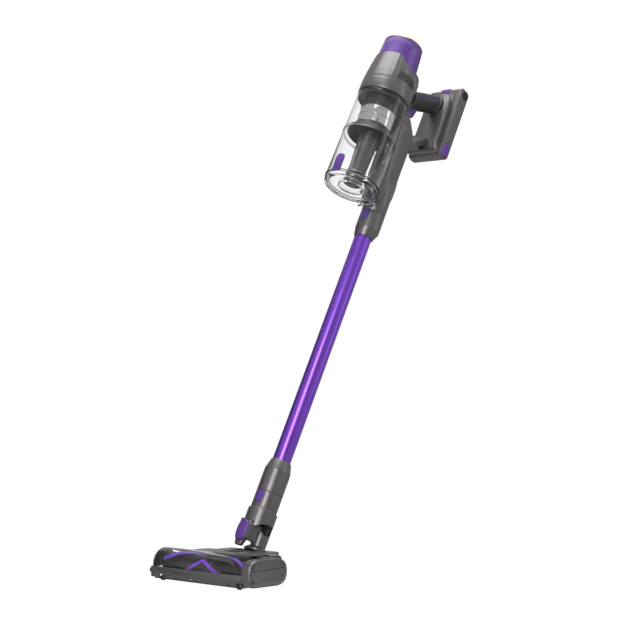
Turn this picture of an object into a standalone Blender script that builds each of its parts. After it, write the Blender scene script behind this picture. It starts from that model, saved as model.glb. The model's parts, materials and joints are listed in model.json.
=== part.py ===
"""Cordless stick vacuum cleaner.

World frame: X runs along the floor head, the head's front faces -Y, +Z is up, and the origin is on the
flat underside of the floor head, just behind the brush. The wand and the main body are modelled in a
frame of their own: local Z runs up the wand, local Y points to the back of the machine and local X to its
right. That frame stands on the neck's pivot, leant back and rolled a little to one side. Metres.
"""
import math

import bpy
import bmesh
from mathutils import Vector

# ---------------------------------------------------------------- driving dimensions
GAP = 0.0003                # clearance between neighbouring solids

# pose of the wand over the floor head
LEAN = math.radians(23.6)   # wand leant back from upright
ROLL = math.radians(4.51)   # wand rolled to the right
PIVOT_Y = 0.0543
PIVOT_Z = 0.0296
NECK_BACK = 0.017           # neck duct's axis behind the wand's axis

# floor head
HEAD_WIDTH = 0.250
HEAD_FRONT_Y = -0.0720
SOLE_T = 0.0020
STRIP_T = 0.0026
STRIP_TOP_Z = 0.0208
END_CAP_T = 0.0193
END_CAP_TOP_Z = 0.0465
END_CAP_BACK_Y = 0.0161
WALL = 0.0022
ROLLER_Y = -0.0425
ROLLER_Z = 0.0226
BARREL_R = 0.0200
BRISTLE_R = 0.0240
BRISTLE_T = 0.0028
BRISTLE_COUNT = 3
BRISTLE_TWIST = math.radians(127)   # turn from a strip's middle to its end
WINDOW_Z = 0.0245
WINDOW_R = 0.0265
WINDOW_T = 0.0018
WINDOW_LEFT_X = -0.1215
SOLE_LEFT_X = -0.1180
FRONT_WHEEL_R = 0.0047
FRONT_WHEEL_W = 0.0068
AXLE_R = 0.0010
FRONT_WHEEL_X = 0.0975
FRONT_WHEEL_Y = -0.0665
WHEEL_DROP = 0.0025         # how far the wheels stand below the sole
REAR_WHEEL_R = 0.0090
REAR_WHEEL_W = 0.0090
REAR_WHEEL_Y = 0.0480
REAR_WHEEL_X = 0.0500
BRIDGE_HALF_W = 0.0620
BRIDGE_TOP_Z = 0.0480
BRIDGE_T = 0.0078
BRIDGE_BACK_Y = 0.0600
BAY_HALF_W = 0.0290         # opening in the head that the neck swings in
BAY_FRONT_Y = 0.0270
SHROUD_HALF_W = 0.0970
SLOT_Y = 0.0098             # middle of the trough that takes the arm
SLOT_LENGTH = 0.0256
TRUNNION_R = 0.0092
BARREL_HALF = 0.0150        # yoke barrel, half its length
YOKE_R = 0.0130
PITCH_PIN_R = 0.0030
PULLEY_BACK = 0.0480        # motor shaft behind the brush axis

# neck and wand, heights measured up the wand from the pivot
DUCT_R = 0.0143
DUCT_WALL = 0.0016
HOSE_R = 0.0122
SOCKET_Z = 0.0620
SOCKET_R = 0.0270
SOCKET_TOP_Z = 0.0850
COLLAR_R = 0.0242
NECK_TOP_Z = 0.1173
SPIGOT_LENGTH = 0.0290
ARM_HALF_W = 0.0132
ARM_BACK = -0.0240
ARM_FRONT = -0.0330
ARM_LOW_Z = 0.0100
OVAL_Z = 0.0385
OVAL_HALF_W = 0.0128
OVAL_HALF_H = 0.0185
TUBE_R = 0.0169
TUBE_WALL = 0.0012
TUBE_LOW_Z = 0.1500
LOWER_COLLAR_TOP_Z = 0.1794
UPPER_COLLAR_LOW_Z = 0.6445
TUBE_TOP_Z = 0.6760
WAND_TOP_Z = 0.6995
UPPER_BACK = 0.0030         # upper collar's axis behind the tube's
UPPER_R = 0.0240
BUTTON_HALF_W = 0.0092
BUTTON_HEIGHT = 0.0215
BUTTON_STAND = 0.0006
WAND_BUTTON_TOP_Z = 0.6987

# dust cup and cyclone, on an axis in front of the wand's
CUP_FORWARD = 0.0762
CUP_LOW_Z = 0.7195
CUP_TOP_Z = 0.9090
CUP_LOW_R = 0.0543
CUP_TOP_R = 0.0512
CUP_WALL = 0.0022
RING_Z = 0.8225
RING_H = 0.0055
LID_T = 0.0100
LID_R = 0.0531
HINGE_FORWARD = 0.0254
HINGE_Z = 0.7050
HINGE_R = 0.0022
HINGE_PIN_R = 0.0011
KNUCKLE_IN = 0.0125
KNUCKLE_OUT = 0.0190
OUTLET_R = 0.0190
CONE_LOW_R = 0.0170
CONE_TOP_R = 0.0205
CONE_LOW_Z = 0.7240
CONE_TOP_Z = 0.8240
SKIRT_R = 0.0460
SKIRT_Z = 0.8250
MESH_R = 0.0352
MESH_LOW_Z = 0.8460
MESH_TOP_Z = 0.8790
BAND_TOP_Z = 0.9020
FUNNEL_R = 0.0480

# motor housing, filter and cap, on the cup's axis
HOUSING_LOW_Z = 0.9100
HOUSING_LOW_R = 0.0516
HOUSING_MID_R = 0.0528
HOUSING_TOP_Z = 0.9970
HOUSING_TOP_R = 0.0458
HOUSING_SIDE_Z = 0.9740
TONGUE_HALF_W = 0.0330
HOUSING_WALL = 0.0014
CAP_LOW_Z = 0.9720
CAP_TOP_Z = 1.0420
CAP_TOP_R = 0.0393
CAP_SLOPE = math.tan(math.radians(3.9))
CAP_WALL = 0.0020
MOTOR_R = 0.0300
FILTER_R = 0.0330

# spine and handle
SPINE_HALF_W = 0.0200
SPINE_BACK = 0.0200
SPINE_NARROW_BACK = -0.0135
SPINE_TOP_Z = 1.0080
TOWER_HALF_W = 0.0135
SPINE_WRAP = -0.0330        # how far forward the spine's sides reach round the cup
STRUT_SLOPE = math.radians(28.5)
STRUT_Z = 0.8852            # strut's middle where it leaves the spine
STRUT_H = 0.0195
STRUT_W = 0.0210
GRIP_Z = 0.9586             # grip's middle where it leaves the spine
GRIP_HALF_H = 0.0190
GRIP_HALF_W = 0.0165
TRIGGER_HALF_W = 0.0065
TRIGGER_PIVOT_BACK = -0.0020
TRIGGER_PIVOT_Z = 0.9560
DOCK_FRONT = 0.0660
DOCK_HALF_W = 0.0300
DOCK_FOOT_HALF_W = 0.0370
DOCK_LOW_Z = 0.8895
DOCK_TOP_Z = 1.0310
BATTERY_FRONT = 0.0796
BATTERY_T = 0.0274
BATTERY_HALF_W = 0.0410
BATTERY_LOW_Z = 0.8865
BATTERY_TOP_Z = 1.0510
BATTERY_ROUND = 0.0125
PACK_BUTTON_HALF_W = 0.0130
SIDE_BUTTON_Z = 0.9030
SIDE_BUTTON_HALF_W = 0.0095
SIDE_BUTTON_HALF_H = 0.0145

X_AXIS = (0.0, math.pi / 2, 0.0)              # lays a solid's Z along X
FACE_SIDE = (math.pi / 2, 0.0, math.pi / 2)   # outline's x, y become y, z and its depth x
FACE_FRONT = (math.pi / 2, 0.0, 0.0)          # outline's x, y become x, z and its depth -y

# ---------------------------------------------------------------- scene helpers
for old in list(bpy.data.objects):
    bpy.data.objects.remove(old, do_unlink=True)


def new_collection(name):
    group = bpy.data.collections.new(name)
    bpy.context.scene.collection.children.link(group)
    return group


PARTS = new_collection("cordless_stick_vacuum")
CUTTERS = new_collection("cutters")


def plastic(name, color, roughness, metallic=0.0, alpha=1.0):
    made = bpy.data.materials.new(name)
    made.use_nodes = True
    shader = made.node_tree.nodes["Principled BSDF"]
    shader.inputs["Base Color"].default_value = (*color, 1.0)
    shader.inputs["Roughness"].default_value = roughness
    shader.inputs["Metallic"].default_value = metallic
    shader.inputs["Alpha"].default_value = alpha
    made.diffuse_color = (*color, alpha)
    return made


GREY = plastic("grey_plastic", (0.135, 0.130, 0.132), 0.38)
DARK = plastic("dark_plastic", (0.030, 0.030, 0.032), 0.45)
BLACK = plastic("black_gloss", (0.012, 0.012, 0.013), 0.20)
SOFT = plastic("soft_grip", (0.020, 0.020, 0.021), 0.65)
PURPLE = plastic("purple_plastic", (0.150, 0.045, 0.440), 0.32)
TUBE = plastic("purple_anodised", (0.210, 0.075, 0.620), 0.28, metallic=0.9)
CLEAR = plastic("clear_plastic", (0.900, 0.910, 0.915), 0.06, alpha=0.25)
CHROME = plastic("chrome_mesh", (0.780, 0.780, 0.790), 0.15, metallic=1.0)
GOLD = plastic("gold_ring", (0.830, 0.600, 0.130), 0.22, metallic=1.0)
RUBBER = plastic("rubber", (0.018, 0.018, 0.018), 0.80)
STEEL = plastic("steel", (0.560, 0.560, 0.570), 0.30, metallic=1.0)
PAPER = plastic("filter_paper", (0.800, 0.800, 0.780), 0.90)
BRISTLE = plastic("purple_bristle", (0.170, 0.050, 0.520), 0.70)


def frame(name, at, turn=(0.0, 0.0, 0.0), parent=None):
    empty = bpy.data.objects.new(name, None)
    empty.location = at
    empty.rotation_euler = turn
    empty.parent = parent
    PARTS.objects.link(empty)
    return empty


NECK_FRAME = frame("neck_frame", (0.0, PIVOT_Y, PIVOT_Z), (-LEAN, ROLL, 0.0))
YOKE_FRAME = frame("yoke_frame", (0.0, PIVOT_Y, PIVOT_Z), (0.0, ROLL, 0.0))
WAND_FRAME = frame("wand_frame", (0.0, -NECK_BACK, 0.0), parent=NECK_FRAME)
CUP_AXIS = (0.0, -CUP_FORWARD, 0.0)


def place(obj, material=None, parent=None, at=(0.0, 0.0, 0.0), turn=(0.0, 0.0, 0.0)):
    """Put an object in the model, or among the cutters when it has no material."""
    for group in list(obj.users_collection):
        group.objects.unlink(obj)
    (PARTS if material else CUTTERS).objects.link(obj)
    obj.location = at
    obj.rotation_euler = turn
    obj.parent = parent
    if material:
        obj.data.materials.clear()
        obj.data.materials.append(material)
        if len(obj.data.polygons):
            obj.data.shade_smooth()
            obj.data.set_sharp_from_angle(angle=math.radians(35))
    else:
        obj.hide_render = True
        obj.display_type = "WIRE"
    return obj


def mesh_object(name, build):
    """A mesh object that a function fills through bmesh."""
    mesh = bpy.data.meshes.new(name)
    work = bmesh.new()
    build(work)
    work.to_mesh(mesh)
    work.free()
    return bpy.data.objects.new(name, mesh)


def turned(name, profile, steps=32, ring=True):
    """A solid of revolution about Z. The profile of (radius, height) points runs down the outer side;
    a ring closes on itself, and any other profile starts and ends on the axis."""
    mesh = bpy.data.meshes.new(name)
    points = [(r, 0.0, z) for r, z in profile]
    edges = [(i, i + 1) for i in range(len(points) - 1)]
    if ring:
        edges.append((len(points) - 1, 0))
    mesh.from_pydata(points, edges, [])
    obj = bpy.data.objects.new(name, mesh)
    screw = obj.modifiers.new("turn", "SCREW")
    screw.steps = screw.render_steps = steps
    screw.use_merge_vertices = True
    screw.merge_threshold = 1e-5
    screw.use_smooth_shade = True
    return obj


def box(name, low, high, bevel=0.0, segments=2):
    size = [b - a for a, b in zip(low, high)]
    middle = Vector([(a + b) / 2 for a, b in zip(low, high)])

    def build(work):
        bmesh.ops.create_cube(work, size=1.0)
        bmesh.ops.scale(work, vec=size, verts=work.verts)
        bmesh.ops.translate(work, vec=middle, verts=work.verts)

    obj = mesh_object(name, build)
    if bevel:
        rounding = obj.modifiers.new("rounding", "BEVEL")
        rounding.width = bevel
        rounding.segments = segments
    return obj


def cylinder(name, radius, low, high, steps=24, stretch=1.0):
    """A cylinder along Z, made oval across X by stretch."""
    def build(work):
        bmesh.ops.create_cone(work, cap_ends=True, segments=steps, radius1=radius, radius2=radius,
                              depth=high - low)
        bmesh.ops.scale(work, vec=(stretch, 1.0, 1.0), verts=work.verts)
        bmesh.ops.translate(work, vec=(0.0, 0.0, (low + high) / 2), verts=work.verts)

    return mesh_object(name, build)


def slab(name, outlines, depth, bevel=0.0, segments=2):
    """A flat outline, with any further outlines as holes, given a thickness about its own plane."""
    curve = bpy.data.curves.new(name, "CURVE")
    curve.dimensions = "2D"
    curve.fill_mode = "BOTH"
    curve.extrude = depth / 2
    for outline in outlines:
        spline = curve.splines.new("POLY")
        spline.points.add(len(outline) - 1)
        for point, (x, y) in zip(spline.points, outline):
            point.co = (x, y, 0.0, 1.0)
        spline.use_cyclic_u = True
    drawn = bpy.data.objects.new(name + "_outline", curve)
    CUTTERS.objects.link(drawn)
    bpy.context.view_layer.update()
    evaluated = drawn.evaluated_get(bpy.context.evaluated_depsgraph_get())
    mesh = bpy.data.meshes.new_from_object(evaluated)
    bpy.data.objects.remove(drawn, do_unlink=True)
    work = bmesh.new()
    work.from_mesh(mesh)
    bmesh.ops.remove_doubles(work, verts=work.verts, dist=1e-6)
    bmesh.ops.recalc_face_normals(work, faces=work.faces)
    work.to_mesh(mesh)
    work.free()
    mesh.name = name
    obj = bpy.data.objects.new(name, mesh)
    if bevel:
        rounding = obj.modifiers.new("rounding", "BEVEL")
        rounding.width = bevel
        rounding.segments = segments
        rounding.limit_method = "ANGLE"
        rounding.angle_limit = math.radians(50)
    return obj


def boolean(obj, cutter, operation="DIFFERENCE"):
    step = obj.modifiers.new(operation.lower(), "BOOLEAN")
    step.operation = operation
    step.object = cutter
    return obj


def arc(x, y, radius, start, end, count):
    """Points of an arc, angles in degrees."""
    turns = [math.radians(start + (end - start) * i / (count - 1)) for i in range(count)]
    return [(x + radius * math.cos(t), y + radius * math.sin(t)) for t in turns]


def rounded(x0, x1, y0, y1, radii, count=5):
    """A rectangle with its own radius at each corner: low-left, low-right, top-right, top-left."""
    corners = [(x0, y0, 180), (x1, y0, 270), (x1, y1, 0), (x0, y1, 90)]
    points = []
    for (x, y, start), r in zip(corners, radii):
        cx = x + r if x == x0 else x - r
        cy = y + r if y == y0 else y - r
        points += arc(cx, cy, r, start, start + 90, count)
    return points


def belt_line(centre_a, radius_a, centre_b, radius_b, count=9):
    """The outline of a belt round two pulleys."""
    ax, ay = centre_a
    bx, by = centre_b
    along = math.degrees(math.atan2(by - ay, bx - ax))
    tilt = math.degrees(math.acos((radius_a - radius_b) / math.hypot(bx - ax, by - ay)))
    return (arc(ax, ay, radius_a, along + tilt, along + 360 - tilt, count)
            + arc(bx, by, radius_b, along - tilt, along + tilt, count))


# ---------------------------------------------------------------- floor head
RIGHT_X = HEAD_WIDTH / 2
CAP_IN_X = RIGHT_X - END_CAP_T
STRIP_BACK_Y = HEAD_FRONT_Y + STRIP_T
FRONT_WHEEL_Z = FRONT_WHEEL_R - WHEEL_DROP
REAR_WHEEL_Z = REAR_WHEEL_R - WHEEL_DROP
MOTOR_Y = ROLLER_Y + PULLEY_BACK
MOTOR_Z = ROLLER_Z - 0.0015
CHAMBER_R = WINDOW_R + 0.0006
BLOCK_TOP_Z = BRIDGE_TOP_Z - BRIDGE_T - GAP
FLOOR_Z = SOLE_T + GAP


def end_cap_outline(inset=0.0):
    radii = (0.0130 - inset, 0.0200 - inset, 0.0200 - inset, 0.0160 - inset)
    return rounded(HEAD_FRONT_Y + inset, END_CAP_BACK_Y - inset, 0.0010 + inset, END_CAP_TOP_Z - inset, radii)


def arm_slot():
    """A trough flared towards its top, so that the arm's tip clears it at any roll of the head."""
    line = [(0.0105, PIVOT_Z + 0.0050), (0.0155, PIVOT_Z + 0.0105), (0.0205, BRIDGE_TOP_Z - 0.0010),
            (0.0213, BRIDGE_TOP_Z + 0.02)]
    return slab("arm_slot", [line + [(-x, z) for x, z in reversed(line)]], SLOT_LENGTH)


def head_shells():
    # sole: a plate with the brush slot, notched for the front wheels; a tongue each side carries a rear wheel
    bay = BAY_FRONT_Y - 0.0020
    lug_in, lug_out, lug_back = BAY_HALF_W + 0.0005, BRIDGE_HALF_W - 0.0015, BRIDGE_BACK_Y - 0.0030
    outline = [(SOLE_LEFT_X, STRIP_BACK_Y + GAP), (CAP_IN_X - 0.001, STRIP_BACK_Y + GAP),
               (CAP_IN_X - 0.001, 0.0100), (SHROUD_HALF_W - 0.002, 0.0300), (lug_out, 0.0300),
               (lug_out, REAR_WHEEL_Y - REAR_WHEEL_R - 0.0010), (lug_in, REAR_WHEEL_Y - REAR_WHEEL_R - 0.0010),
               (lug_in, bay), (-lug_in, bay), (-lug_in, REAR_WHEEL_Y - REAR_WHEEL_R - 0.0010),
               (-lug_out, REAR_WHEEL_Y - REAR_WHEEL_R - 0.0010), (-lug_out, 0.0300),
               (-SHROUD_HALF_W + 0.002, 0.0300), (SOLE_LEFT_X, 0.0100)]
    mouth = rounded(-0.1040, 0.1010, ROLLER_Y - 0.0170, ROLLER_Y + 0.0170, (0.003,) * 4, 3)
    sole = slab("sole_plate", [outline, mouth], SOLE_T)
    for side in (-1, 1):
        notch = box("wheel_notch", (side * FRONT_WHEEL_X - 0.0050, STRIP_BACK_Y - 0.001, -0.01),
                    (side * FRONT_WHEEL_X + 0.0050, FRONT_WHEEL_Y + FRONT_WHEEL_R + 0.0012, 0.01))
        boolean(sole, place(notch))
        for hand in (-1, 1):
            near, far = side * FRONT_WHEEL_X + hand * 0.0039, side * FRONT_WHEEL_X + hand * 0.0064
            boss = box("axle_boss", (min(near, far), STRIP_BACK_Y + 2 * GAP, 0.0006),
                       (max(near, far), FRONT_WHEEL_Y + 0.0040, FRONT_WHEEL_Z + 0.0026))
            boolean(sole, place(boss), "UNION")
        hole = cylinder("axle_seat", AXLE_R + GAP, side * FRONT_WHEEL_X - 0.008, side * FRONT_WHEEL_X + 0.008, 12)
        boolean(sole, place(hole, turn=X_AXIS, at=(0.0, FRONT_WHEEL_Y, FRONT_WHEEL_Z)))
    place(sole, GREY, at=(0.0, 0.0, SOLE_T / 2))

    # front strip with the wheel arches and two hair notches in its lower edge
    low, arch = SOLE_T + 0.0004, FRONT_WHEEL_Z + FRONT_WHEEL_R + 0.0008
    edge = [(-RIGHT_X, STRIP_TOP_Z), (-RIGHT_X, low + 0.002), (-RIGHT_X + 0.002, low)]
    for x, half, top in ((-FRONT_WHEEL_X, 0.0050, arch), (-0.0600, 0.0040, low + 0.0016),
                         (-0.0190, 0.0060, low + 0.0020), (0.0740, 0.0045, low + 0.0016),
                         (FRONT_WHEEL_X, 0.0050, arch)):
        edge += [(x - half, low), (x - half, top), (x + half, top), (x + half, low)]
    edge += [(CAP_IN_X - GAP, low), (CAP_IN_X - GAP, STRIP_TOP_Z)]
    place(slab("front_strip", [edge], STRIP_T - GAP), GREY, turn=FACE_FRONT,
          at=(0.0, HEAD_FRONT_Y + (STRIP_T - GAP) / 2, 0.0))

    # clear half-round window over the brush
    window = (arc(ROLLER_Y, WINDOW_Z, WINDOW_R, 47, 189, 18)
              + arc(ROLLER_Y, WINDOW_Z, WINDOW_R - WINDOW_T, 189, 47, 18))
    span = CAP_IN_X - GAP - WINDOW_LEFT_X
    place(slab("brush_window", [window], span), CLEAR, turn=FACE_SIDE,
          at=((CAP_IN_X - GAP + WINDOW_LEFT_X) / 2, 0.0, 0.0))

    # clear left end with its raised rings, closing the window
    rings = [(0.0, 0.0029), (0.0243, 0.0029), (0.0243, 0.0003), (0.0262, 0.0003), (0.0262, -0.0009),
             (0.0, -0.0009)]
    end = turned("end_cap_left", [(r, z) for r, z in rings], 32, ring=False)
    boolean(end, place(box("end_trim", (-0.04, -0.04, -0.01), (STRIP_TOP_Z - 0.0250, 0.04, 0.01)),
                       turn=X_AXIS, at=(WINDOW_LEFT_X - 0.0012, ROLLER_Y, WINDOW_Z)))
    boolean(end, place(cylinder("bearing_seat", 0.0030 + GAP, 0.0004, 0.01, 16), turn=X_AXIS,
                       at=(WINDOW_LEFT_X, ROLLER_Y, ROLLER_Z)))
    place(end, CLEAR, turn=X_AXIS, at=(WINDOW_LEFT_X - 2 * GAP - 0.0003, ROLLER_Y, WINDOW_Z))

    # right end cap: a cover over the belt drive, open towards the brush
    cap = slab("end_cap_right", [end_cap_outline()], END_CAP_T, bevel=0.0018)
    cavity = slab("belt_room", [end_cap_outline(WALL)], END_CAP_T)
    boolean(cap, place(cavity, turn=FACE_SIDE, at=(RIGHT_X - END_CAP_T / 2 - WALL, 0.0, 0.0)))
    boss = turned("bearing_boss", [(0.0060, RIGHT_X - WALL + 0.0005), (0.0060, 0.1148), (0.0030 + GAP, 0.1148),
                                   (0.0030 + GAP, RIGHT_X - WALL + 0.0005)], 20)
    boolean(cap, place(boss, turn=X_AXIS, at=(0.0, ROLLER_Y, ROLLER_Z)), "UNION")
    place(cap, GREY, turn=FACE_SIDE, at=(RIGHT_X - END_CAP_T / 2, 0.0, 0.0))

    # chassis: back of the brush chamber, and a block that carries the neck's trunnion and the rear wheels
    chassis = box("head_chassis", (-0.1060, ROLLER_Y + 0.004, FLOOR_Z),
                  (CAP_IN_X - 0.0005, -0.0120, BLOCK_TOP_Z), 0.0012, 1)
    block = box("chassis_block", (-BRIDGE_HALF_W + 0.0015, -0.0200, FLOOR_Z),
                (BRIDGE_HALF_W - 0.0015, BRIDGE_BACK_Y - 0.0030, BLOCK_TOP_Z), 0.0015, 1)
    boolean(chassis, place(block), "UNION")
    boolean(chassis, place(box("neck_bay", (-BAY_HALF_W, BAY_FRONT_Y, -0.01),
                               (BAY_HALF_W, 0.10, 0.08))))
    boolean(chassis, place(arm_slot(), turn=FACE_FRONT, at=(0.0, SLOT_Y, 0.0)))
    chamber = cylinder("brush_chamber", CHAMBER_R, -0.1045, 0.1020, 40)
    boolean(chassis, place(chamber, turn=X_AXIS, at=(0.0, ROLLER_Y, WINDOW_Z)))
    boolean(chassis, place(box("chamber_mouth", (-0.1045, ROLLER_Y - 0.03, -0.01),
                               (0.1020, ROLLER_Y + 0.0195, 0.0150))))
    bore = cylinder("trunnion_bore", TRUNNION_R + GAP, -0.06, 0.06, 24)
    boolean(chassis, place(bore, turn=(math.pi / 2, 0.0, 0.0), at=(0.0, PIVOT_Y, PIVOT_Z)))
    for side in (-1, 1):
        inner = side * (REAR_WHEEL_X - REAR_WHEEL_W / 2 - 0.0008)
        outer = side * 0.09
        well = box("wheel_well", (min(inner, outer), REAR_WHEEL_Y - REAR_WHEEL_R - 0.0010, -0.01),
                   (max(inner, outer), 0.09, REAR_WHEEL_Z + REAR_WHEEL_R + 0.0010))
        boolean(chassis, place(well))
        axle = cylinder("axle_hole", 0.0018 + 2 * GAP, -0.2, 0.2, 12)
        boolean(chassis, place(axle, turn=X_AXIS, at=(0.0, REAR_WHEEL_Y, REAR_WHEEL_Z)))
    shaft = cylinder("roller_shaft_hole", 0.0042, -0.2, 0.2, 16)
    boolean(chassis, place(shaft, turn=X_AXIS, at=(0.0, ROLLER_Y, ROLLER_Z)))
    place(chassis, DARK)

    # bridge cover with the slot that takes the arm when the wand stands upright, open at the neck
    bridge = box("bridge_cover", (-BRIDGE_HALF_W, -0.0150, BRIDGE_TOP_Z - BRIDGE_T),
                 (BRIDGE_HALF_W, BRIDGE_BACK_Y, BRIDGE_TOP_Z), 0.0035, 2)
    boolean(bridge, place(arm_slot(), turn=FACE_FRONT, at=(0.0, SLOT_Y, 0.0)))
    boolean(bridge, place(box("bridge_bay", (-BAY_HALF_W, BAY_FRONT_Y, 0.0), (BAY_HALF_W, 0.1, 0.1))))
    place(bridge, GREY)

    # black shrouds either side of the bridge; the right one holds the brush motor
    for side, name in ((-1, "rear_shroud_left"), (1, "rear_shroud_right")):
        ends = sorted((side * (BRIDGE_HALF_W + GAP), side * SHROUD_HALF_W))
        shroud = box(name, (ends[0], -0.0117, FLOOR_Z), (ends[1], 0.0360, BRIDGE_TOP_Z - 0.001), 0.0090, 3)
        ends = sorted((side * (BRIDGE_HALF_W + 0.0025), side * (SHROUD_HALF_W - 0.0022)))
        boolean(shroud, place(box("shroud_room", (ends[0], -0.0095, -0.01),
                                  (ends[1], 0.0335, BRIDGE_TOP_Z - 0.0080))))
        if side > 0:
            boolean(shroud, place(cylinder("shaft_hole", 0.0030, 0.08, 0.12, 16), turn=X_AXIS,
                                  at=(0.0, MOTOR_Y, MOTOR_Z)))
        place(shroud, BLACK)


def brush_drive():
    # roller: barrel, hub steps and the shaft it spins on
    left, right = -0.1020, 0.0995
    profile = [(0.0, 0.1170), (0.0030, 0.1170), (0.0030, right), (BARREL_R, right), (BARREL_R, left),
               (0.0030, left), (0.0030, WINDOW_LEFT_X + 0.0010), (0.0, WINDOW_LEFT_X + 0.0010)]
    place(turned("brush_roller", profile, 28, ring=False), DARK, turn=X_AXIS, at=(0.0, ROLLER_Y, ROLLER_Z))

    # bristle strips: each bends from its middle back to both ends, a V laid on the barrel
    stations = 17
    reach = 0.0985
    base, tip = BARREL_R + 0.0007, BRISTLE_R
    for index in range(BRISTLE_COUNT):
        first = math.radians(39) + 2 * math.pi * index / BRISTLE_COUNT

        def build(work, first=first):
            rows = []
            for i in range(stations):
                share = 2 * i / (stations - 1) - 1
                x = reach * share
                turn = first - BRISTLE_TWIST * abs(share)
                row = []
                for radius, side in ((base, -1), (tip, -1), (tip, 1), (base, 1)):
                    angle = turn + side * BRISTLE_T / 2 / radius
                    row.append(work.verts.new((x, -radius * math.cos(angle), radius * math.sin(angle))))
                rows.append(row)
            for a, b in zip(rows, rows[1:]):
                for k in range(4):
                    work.faces.new((a[k], a[(k + 1) % 4], b[(k + 1) % 4], b[k]))
            work.faces.new(rows[0])
            work.faces.new(list(reversed(rows[-1])))
            bmesh.ops.recalc_face_normals(work, faces=work.faces)

        strip = mesh_object(f"bristle_strip_{index + 1}", build)
        place(strip, BRISTLE, at=(0.0, ROLLER_Y, ROLLER_Z))

    # belt drive inside the right end cap
    belt_x, belt_w = 0.1115, 0.0050
    big, small = 0.0110, 0.0060
    brush_pulley = turned("brush_pulley", [(big, belt_w / 2), (big, -belt_w / 2), (0.0030 + GAP, -belt_w / 2),
                                           (0.0030 + GAP, belt_w / 2)], 20)
    place(brush_pulley, DARK, turn=X_AXIS, at=(belt_x, ROLLER_Y, ROLLER_Z))
    motor_pulley = turned("motor_pulley", [(0.0, belt_w / 2), (small, belt_w / 2), (small, -belt_w / 2),
                                           (0.0016, -belt_w / 2), (0.0016, 0.0860 - belt_x), (0.0, 0.0860 - belt_x)],
                          16, ring=False)
    place(motor_pulley, STEEL, turn=X_AXIS, at=(belt_x, MOTOR_Y, MOTOR_Z))
    outer = belt_line((ROLLER_Y, ROLLER_Z), big + 0.0020, (MOTOR_Y, MOTOR_Z), small + 0.0020)
    inner = belt_line((ROLLER_Y, ROLLER_Z), big + 0.0006, (MOTOR_Y, MOTOR_Z), small + 0.0006)
    place(slab("drive_belt", [outer, inner], belt_w), RUBBER, turn=FACE_SIDE, at=(belt_x, 0.0, 0.0))
    motor = turned("brush_motor", [(0.0, 0.0850), (0.0016 + GAP, 0.0850), (0.0016 + GAP, 0.0900), (0.0120, 0.0900),
                                   (0.0120, 0.0660), (0.0, 0.0660)], 20, ring=False)
    place(motor, STEEL, turn=X_AXIS, at=(0.0, MOTOR_Y, MOTOR_Z))


def head_wheels():
    for side, name in ((-1, "left"), (1, "right")):
        front = turned(f"front_wheel_{name}", [(0.0, 0.0061), (AXLE_R, 0.0061), (AXLE_R, FRONT_WHEEL_W / 2),
                                               (FRONT_WHEEL_R, FRONT_WHEEL_W / 2),
                                               (FRONT_WHEEL_R, -FRONT_WHEEL_W / 2), (AXLE_R, -FRONT_WHEEL_W / 2),
                                               (AXLE_R, -0.0061), (0.0, -0.0061)], 20, ring=False)
        place(front, DARK, turn=X_AXIS, at=(side * FRONT_WHEEL_X, FRONT_WHEEL_Y, FRONT_WHEEL_Z))
        half = REAR_WHEEL_W / 2
        rear = turned(f"rear_wheel_{name}",
                      [(0.0, half), (REAR_WHEEL_R - 0.001, half), (REAR_WHEEL_R, half - 0.001),
                       (REAR_WHEEL_R, 0.001 - half), (REAR_WHEEL_R - 0.001, -half), (0.0018, -half),
                       (0.0018, -half - 0.0060), (0.0, -half - 0.0060)], 24, ring=False)
        place(rear, RUBBER, turn=(0.0, side * math.pi / 2, 0.0), at=(side * REAR_WHEEL_X, REAR_WHEEL_Y, REAR_WHEEL_Z))


# ---------------------------------------------------------------- neck
def yoke():
    # barrel across the neck, and the trunnion that lets the head roll
    body = cylinder("neck_yoke", YOKE_R, -BARREL_HALF, BARREL_HALF, 28)
    trunnion = cylinder("trunnion", TRUNNION_R, 0.0, PIVOT_Y - BAY_FRONT_Y + 0.0250, 24)
    boolean(body, place(trunnion, parent=YOKE_FRAME, turn=(math.pi / 2, 0.0, 0.0)), "UNION")
    boolean(body, place(cylinder("yoke_duct", 0.0078, 0.0100, 0.10, 20), parent=YOKE_FRAME,
                        turn=(math.pi / 2, 0.0, 0.0)))
    boolean(body, place(cylinder("yoke_pin_hole", PITCH_PIN_R + GAP, -0.05, 0.05, 16), parent=YOKE_FRAME,
                        turn=X_AXIS))
    place(body, DARK, parent=YOKE_FRAME, turn=X_AXIS)
    place(cylinder("pitch_pin", PITCH_PIN_R, -0.0205, 0.0205, 16), STEEL, parent=YOKE_FRAME, turn=X_AXIS)


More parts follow.
